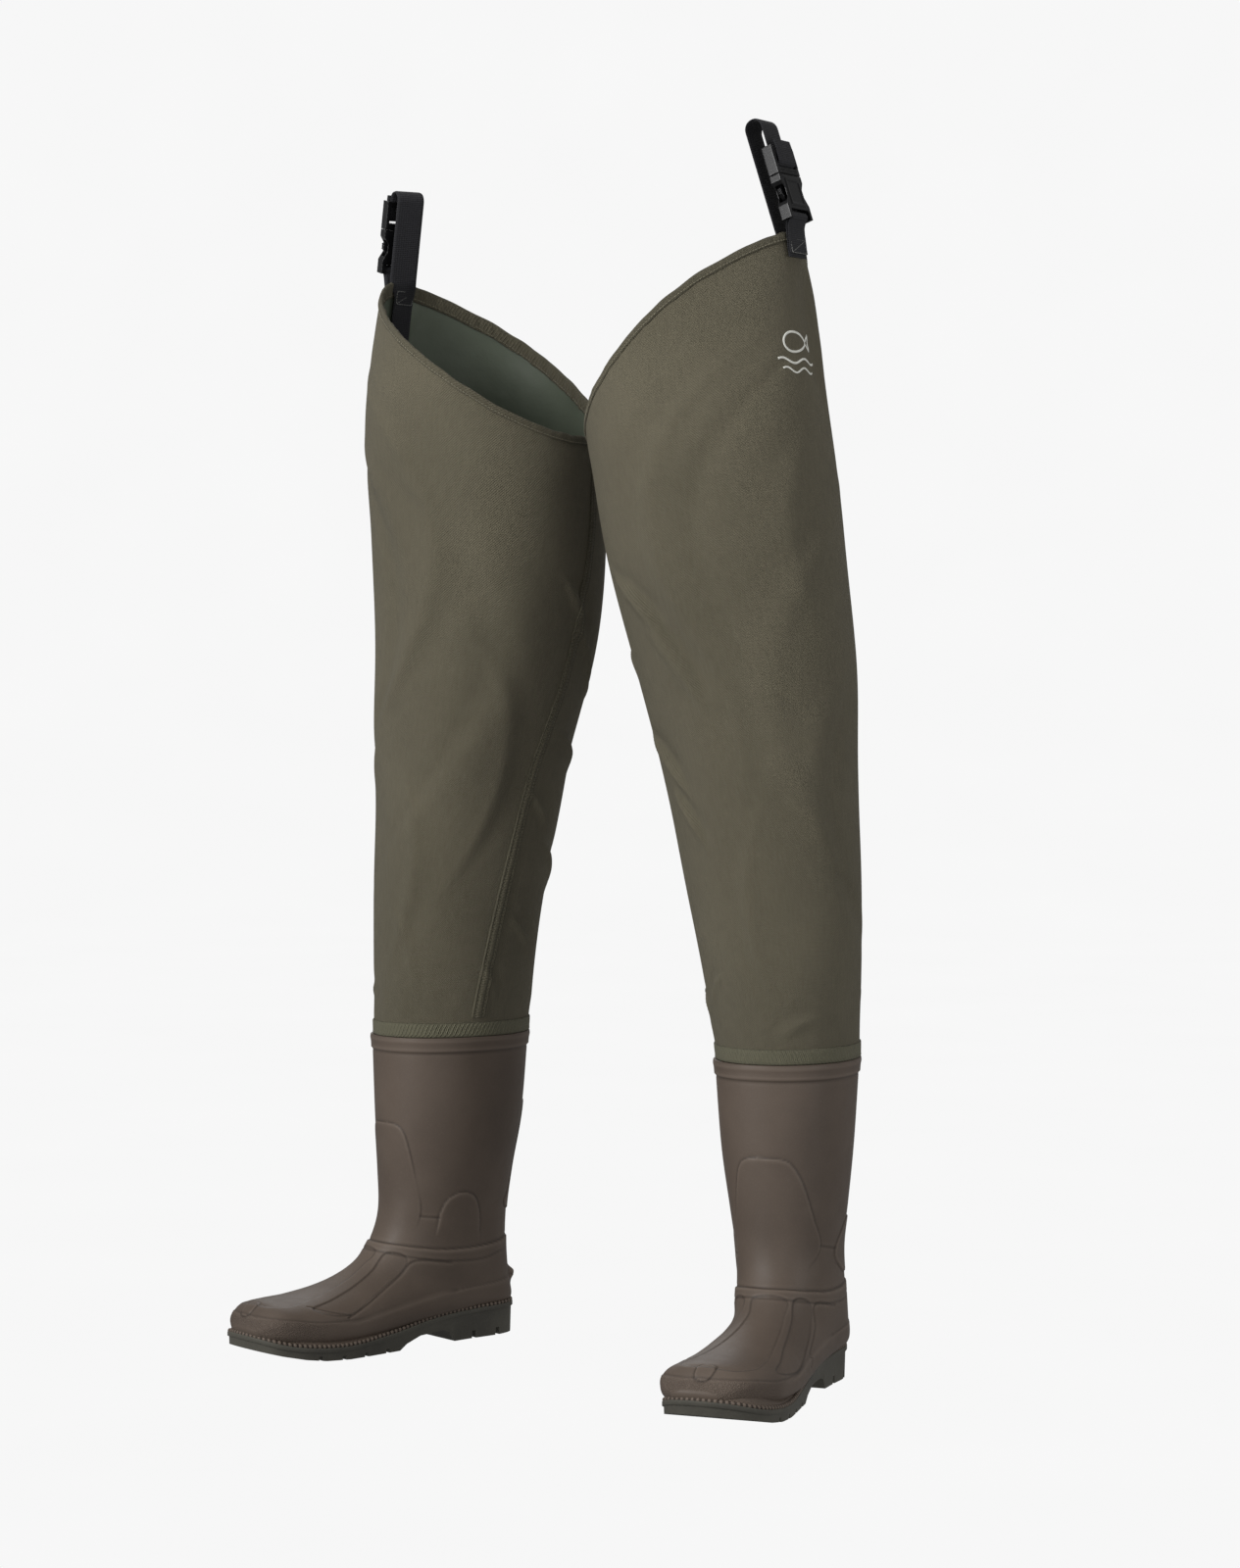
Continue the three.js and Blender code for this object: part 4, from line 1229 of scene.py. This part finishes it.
def webbing_object(name, strap, places, share=None):
    """Woven webbing along (x, z) places in the strap's frame, with a real rib for every weft."""
    step = 0.42
    places = spaced(places, step)
    count = len(places)
    along = np.gradient(places, axis=0)
    along /= np.linalg.norm(along, axis=1, keepdims=True)
    normal = np.stack([-along[:, 1], along[:, 0]], -1)
    rib = RIB_LIFT * np.cos(np.arange(count) * step / RIB_PITCH * TURN)
    wide = WEBBING_WIDTH / 2
    face = [(part * wide, 1 - 0.75 * smooth(0.86, 1.0, abs(part))) for part in np.linspace(-1, 1, 15)]
    loop = face + [(y, -h) for y, h in face[::-1]]
    rows = []
    for i in range(count):
        out, across, up = strap.axes(1.0 if share is None else share(places[i, 1]))
        row = []
        for y, h in loop:
            weave = 1 if int(abs(y) / YARN_WIDTH) % 2 else -1
            x, z = places[i] + normal[i] * h * (WEBBING_HALF + rib[i] * weave * 0.6 + 0.05)
            row.append(strap.origin + (x * out + z * up + y * across) * MM)
        rows.append(row)
    piece = grid_object(name, np.array(rows), [WEBBING], caps=True)
    run = np.arange(count) * step * MM
    uv = layout(run, np.array([y for y, _ in loop]) * MM).reshape(-1, 2)
    vertex_layout(piece, np.concatenate([uv, [(0, run[0]), (0, run[-1])]]))
    return piece


def arc(x, z, radius, start, stop, steps=24):
    """Points on an arc between two angles in degrees."""
    turns = np.radians(np.linspace(start, stop, steps))
    return [(x + radius * math.cos(turn), z + radius * math.sin(turn)) for turn in turns]


# The loop's two strands, outwards from the rim, and heights above the rim in mm.
STRAND = -8.2
OUTER_STRAND = 7.4
LOOP_TOPS = {"left": 90, "right": 72}
RISER_TOP = 66
# The strap is sewn to the cloth below SEWN_TO and wholly free of it above FREE_FROM.
SEWN_TO = -14
FREE_FROM = 6


def freed(height):
    """How free the strap is of the cloth, from 0 to 1."""
    return float(smooth(SEWN_TO, FREE_FROM, height))


def make_strap(side):
    """The webbing: inner anchor, riser, belt loop through the plug, and the keeper of the socket."""
    strap = StrapFrame(side)
    thigh, body, plug = (f"{side}_{part}" for part in ("thigh", "strap", "plug"))
    anchor = webbing_object(f"{side}_anchor", strap, [
        (-7.4, -55), (-7.2, -40), (-7.2, -20), (-7.8, -8), (STRAND, 2), (STRAND, FREE_FROM),
    ], freed)
    strap.point(-5, -12, 0)
    strap.point(-5, 2, 1)
    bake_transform(anchor)
    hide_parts(f"{side}_strap_anchor")
    riser = webbing_object(f"{side}_riser", strap, [(STRAND, FREE_FROM), (STRAND, RISER_TOP)])
    strap.point(STRAND, FREE_FROM)
    strap.point(STRAND, RISER_TOP - 4)
    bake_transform(riser)
    radius = (OUTER_STRAND - STRAND) / 2
    loop = webbing_object(f"{side}_loop", strap, [
        (STRAND, RISER_TOP), *arc(STRAND + radius, LOOP_TOPS[side], radius, 180, 0),
        (OUTER_STRAND, RISER_TOP), (6.9, 61), *arc(10.5, 57.5, 3.5, 190, 350, 14),
        (14.2, 61), (14.6, 68), (14.2, 75),
    ])
    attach(loop, plug)
    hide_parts(f"{side}_strap_loop")
    bar_x, bar_z, wrap = 7.8, 11.5, 2.9
    keeper = webbing_object(f"{side}_keeper", strap, [
        (1.3, -20), (1.3, -6), (1.9, -1), (2.6, 3.4), (bar_x - wrap + 0.3, bar_z - 3),
        *arc(bar_x, bar_z, wrap, 170, -80, 18), (6.0, 5.6), (4.6, 3.2), (3.5, -1), (3.1, -6), (3.0, -17),
    ], freed)
    strap.point(1, -4, 0)
    strap.point(2, 3, 1)
    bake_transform(keeper)
    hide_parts(f"{side}_strap_tab", f"{side}_buckle_keeper")
    corners = [(-10.5, -17), (10.5, -17), (10.5, -6), (-10.5, -6), (-10.5, -17), (10.5, -6)]
    route = spaced(corners, 2.0)
    out, across, up = strap.axes(0)
    rows = []
    for label, depth in (("front", 3.95), ("back", -8.3)):
        line = strap.origin + (depth * out + route[:, :1] * across + route[:, 1:] * up) * MM
        rows.append(stitches(f"{side}_tack_{label}", line, 0.38, TACK, pitch=2.3, length=1.8))
    fit(merge(f"{side}_tack", rows), side, body="thigh")
    make_buckle(side, strap)


def strap_box(strap, x, y, z):
    """A block in the strap's frame; x, y and z are pairs of limits in mm."""
    corners = [
        strap.origin + (a * strap.out + b * strap.across + c * strap.up) * MM
        for a in x for b in y for c in z
    ]
    faces = [[0, 1, 3, 2], [4, 6, 7, 5], [0, 4, 5, 1], [2, 3, 7, 6], [0, 2, 6, 4], [1, 5, 7, 3]]
    vertices = np.array(corners).tolist()
    return outwards(make_object("block", vertices, faces, [PLASTIC], smooth_shading=False))


PLASTIC_GRAIN = 0.36


def moulded(side, node_name, body, raised=(), sunk=(), rounding=7):
    """A moulded plastic part: the CAD solid with raised and sunk details and rounded edges."""
    node = frame["nodes"][f"{side}_{node_name}"]
    work = bmesh.new()
    work.from_mesh(node.data)
    work.transform(node.matrix_world)
    bmesh.ops.remove_doubles(work, verts=work.verts, dist=0.01 * MM)
    mesh = bpy.data.meshes.new(f"{side}_moulded_{node_name}")
    work.to_mesh(mesh)
    work.free()
    piece = bpy.data.objects.new(mesh.name, mesh)
    bpy.context.scene.collection.objects.link(piece)
    for block in raised:
        carve(piece, block, "UNION")
    for block in sunk:
        carve(piece, block, "DIFFERENCE")
    even = piece.modifiers.new("even skin", "REMESH")
    even.mode = "VOXEL"
    even.voxel_size = PLASTIC_GRAIN * MM
    soften = piece.modifiers.new("moulded edges", "SMOOTH")
    soften.factor = 0.5
    soften.iterations = rounding
    apply_modifiers(piece)
    piece.data.materials.clear()
    piece.data.materials.append(PLASTIC)
    piece.data.shade_smooth()
    return fit(piece, side, [node_name], body)


BUCKLE_FACE = 12.3
PANEL_BOTTOM, PANEL_TOP = 18.5, 42.5
PANEL_HALF = 10.5
DISH_HALF = 8.3
DISH_EDGE = 2.5
RIDGE_HEIGHTS = (47.2, 49.6)
GRIP_HEIGHTS = (29.0, 31.0, 33.0)


def make_buckle(side, strap):
    """The side-release buckle: socket, plug frame and two sprung prongs."""
    panel = strap_box(strap, (BUCKLE_FACE, 13.5), (-PANEL_HALF, PANEL_HALF), (PANEL_BOTTOM, PANEL_TOP))
    collar = strap_box(strap, (BUCKLE_FACE, 13.4), (-14.6, 14.6), (PANEL_TOP + 0.1, 44.8))
    dish_height = (PANEL_BOTTOM + DISH_EDGE, PANEL_TOP - DISH_EDGE)
    dish = strap_box(strap, (12.9, 15), (-DISH_HALF, DISH_HALF), dish_height)
    moulded(side, "buckle_female", "strap", [panel, collar], [dish])
    ribs = [strap_box(strap, (BUCKLE_FACE, 13.6), (-13.5, 13.5), (z, z + 1.1)) for z in RIDGE_HEIGHTS]
    ribs += [strap_box(strap, (BUCKLE_FACE, 13.5), (y, y + 1.6), (53, 69)) for y in (-15.8, 14.2)]
    moulded(side, "buckle_male", "plug", ribs)
    for prong, sign in (("prong_front", -1), ("prong_rear", 1)):
        y = sorted((sign * 14.6, sign * 15.9))
        grips = [strap_box(strap, (6.4, 9.2), y, (z, z + 0.9)) for z in GRIP_HEIGHTS]
        moulded(side, prong, prong, grips, rounding=4)


# ---- the pair -------------------------------------------------------------------
for wader in SIDES:
    make_upper(wader)
    make_outsole(wader)
    make_welt(wader)
    make_sock(wader)
    make_footpad(wader)
    leg = make_leg(wader)
    hem = make_hem(wader)
    make_inseam(wader)
    make_weld(wader)
    make_strap(wader)
make_mark("left")


# ---- floor, light and camera ----------------------------------------------------
def make_backdrop():
    """A pale, evenly lit floor that curves up into a dome around the studio."""
    reach, bend, top = 7.0, 2.0, 7.0
    profile = [(0.5, 0.0), (2.5, 0.0), (reach - bend, 0.0)]
    for turn in np.linspace(0.1, np.pi / 2, 12):
        profile.append((reach - bend * (1 - math.sin(turn)), bend * (1 - math.cos(turn))))
    for turn in np.linspace(0.1, 1.4, 12):
        profile.append((reach * math.cos(turn), bend + top * math.sin(turn)))
    rows = [[(r * math.cos(t), r * math.sin(t), z) for t in round_turn(64)] for r, z in profile]
    nodes = Nodes("backdrop paper", (0, 0, 0), 1.0, Specular_IOR_Level=0.0, Emission_Strength=1.0)
    fibres = nodes.blend(nodes.noise(3, 2), shade(246, 246, 246), shade(248, 248, 248))
    nodes.link(fibres, nodes.shader.inputs["Emission Color"])
    backdrop = grid_object("backdrop", np.array(rows), [nodes.material], caps=True)
    backdrop.visible_diffuse = False
    backdrop.visible_glossy = False
    backdrop.visible_shadow = False


CAMERA_TURN = math.radians(36.4)
CAMERA_TILT = math.radians(88.2)
CAMERA_PLACE = (1.8343, -2.4178, 0.588)
FOCAL_LENGTH = 105.2
PICTURE = (1265, 1600)

camera_data = bpy.data.cameras.new("camera")
camera = bpy.data.objects.new("camera", camera_data)
bpy.context.scene.collection.objects.link(camera)
camera.location = CAMERA_PLACE
camera.rotation_euler = (CAMERA_TILT, 0, CAMERA_TURN)
camera_data.sensor_fit = "AUTO"
camera_data.sensor_width = 36
camera_data.lens = FOCAL_LENGTH * PICTURE[0] / PICTURE[1]
camera_data.clip_end = 50
bpy.context.scene.camera = camera


def add_light(name, place, target, size, power):
    """A rectangular softbox that faces its target."""
    data = bpy.data.lights.new(name, "AREA")
    data.shape = "RECTANGLE"
    data.size, data.size_y = size
    data.energy = power
    light = bpy.data.objects.new(name, data)
    bpy.context.scene.collection.objects.link(light)
    light.location = place
    light.rotation_euler = (Vector(target) - Vector(place)).to_track_quat("-Z", "Y").to_euler()


def around(turn_degrees, distance, height):
    """A place round the pair; the turn is measured from the camera's direction."""
    turn = CAMERA_TURN + math.radians(turn_degrees)
    return (math.sin(turn) * distance, -math.cos(turn) * distance, height)


CENTRE = (0, 0, 0.5)
make_backdrop()
add_light("key softbox", around(-48, 2.4, 1.35), CENTRE, (1.0, 1.8), 65)
add_light("right softbox", around(64, 2.8, 0.8), CENTRE, (1.0, 1.6), 17)
add_light("top softbox", (0, 0, 3.0), CENTRE, (2.0, 2.0), 13)
add_light("low fill", around(14, 2.6, 0.35), (0, 0, 0.12), (1.4, 0.5), 9)
add_light("back softbox", around(180, 3.0, 2.0), CENTRE, (1.8, 1.8), 22)

world = bpy.data.worlds.new("studio")
bpy.context.scene.world = world
world.use_nodes = True
world.node_tree.nodes["Background"].inputs["Color"].default_value = (1, 1, 1, 1)
world.node_tree.nodes["Background"].inputs["Strength"].default_value = 0.26
bpy.context.scene.view_settings.view_transform = "Standard"
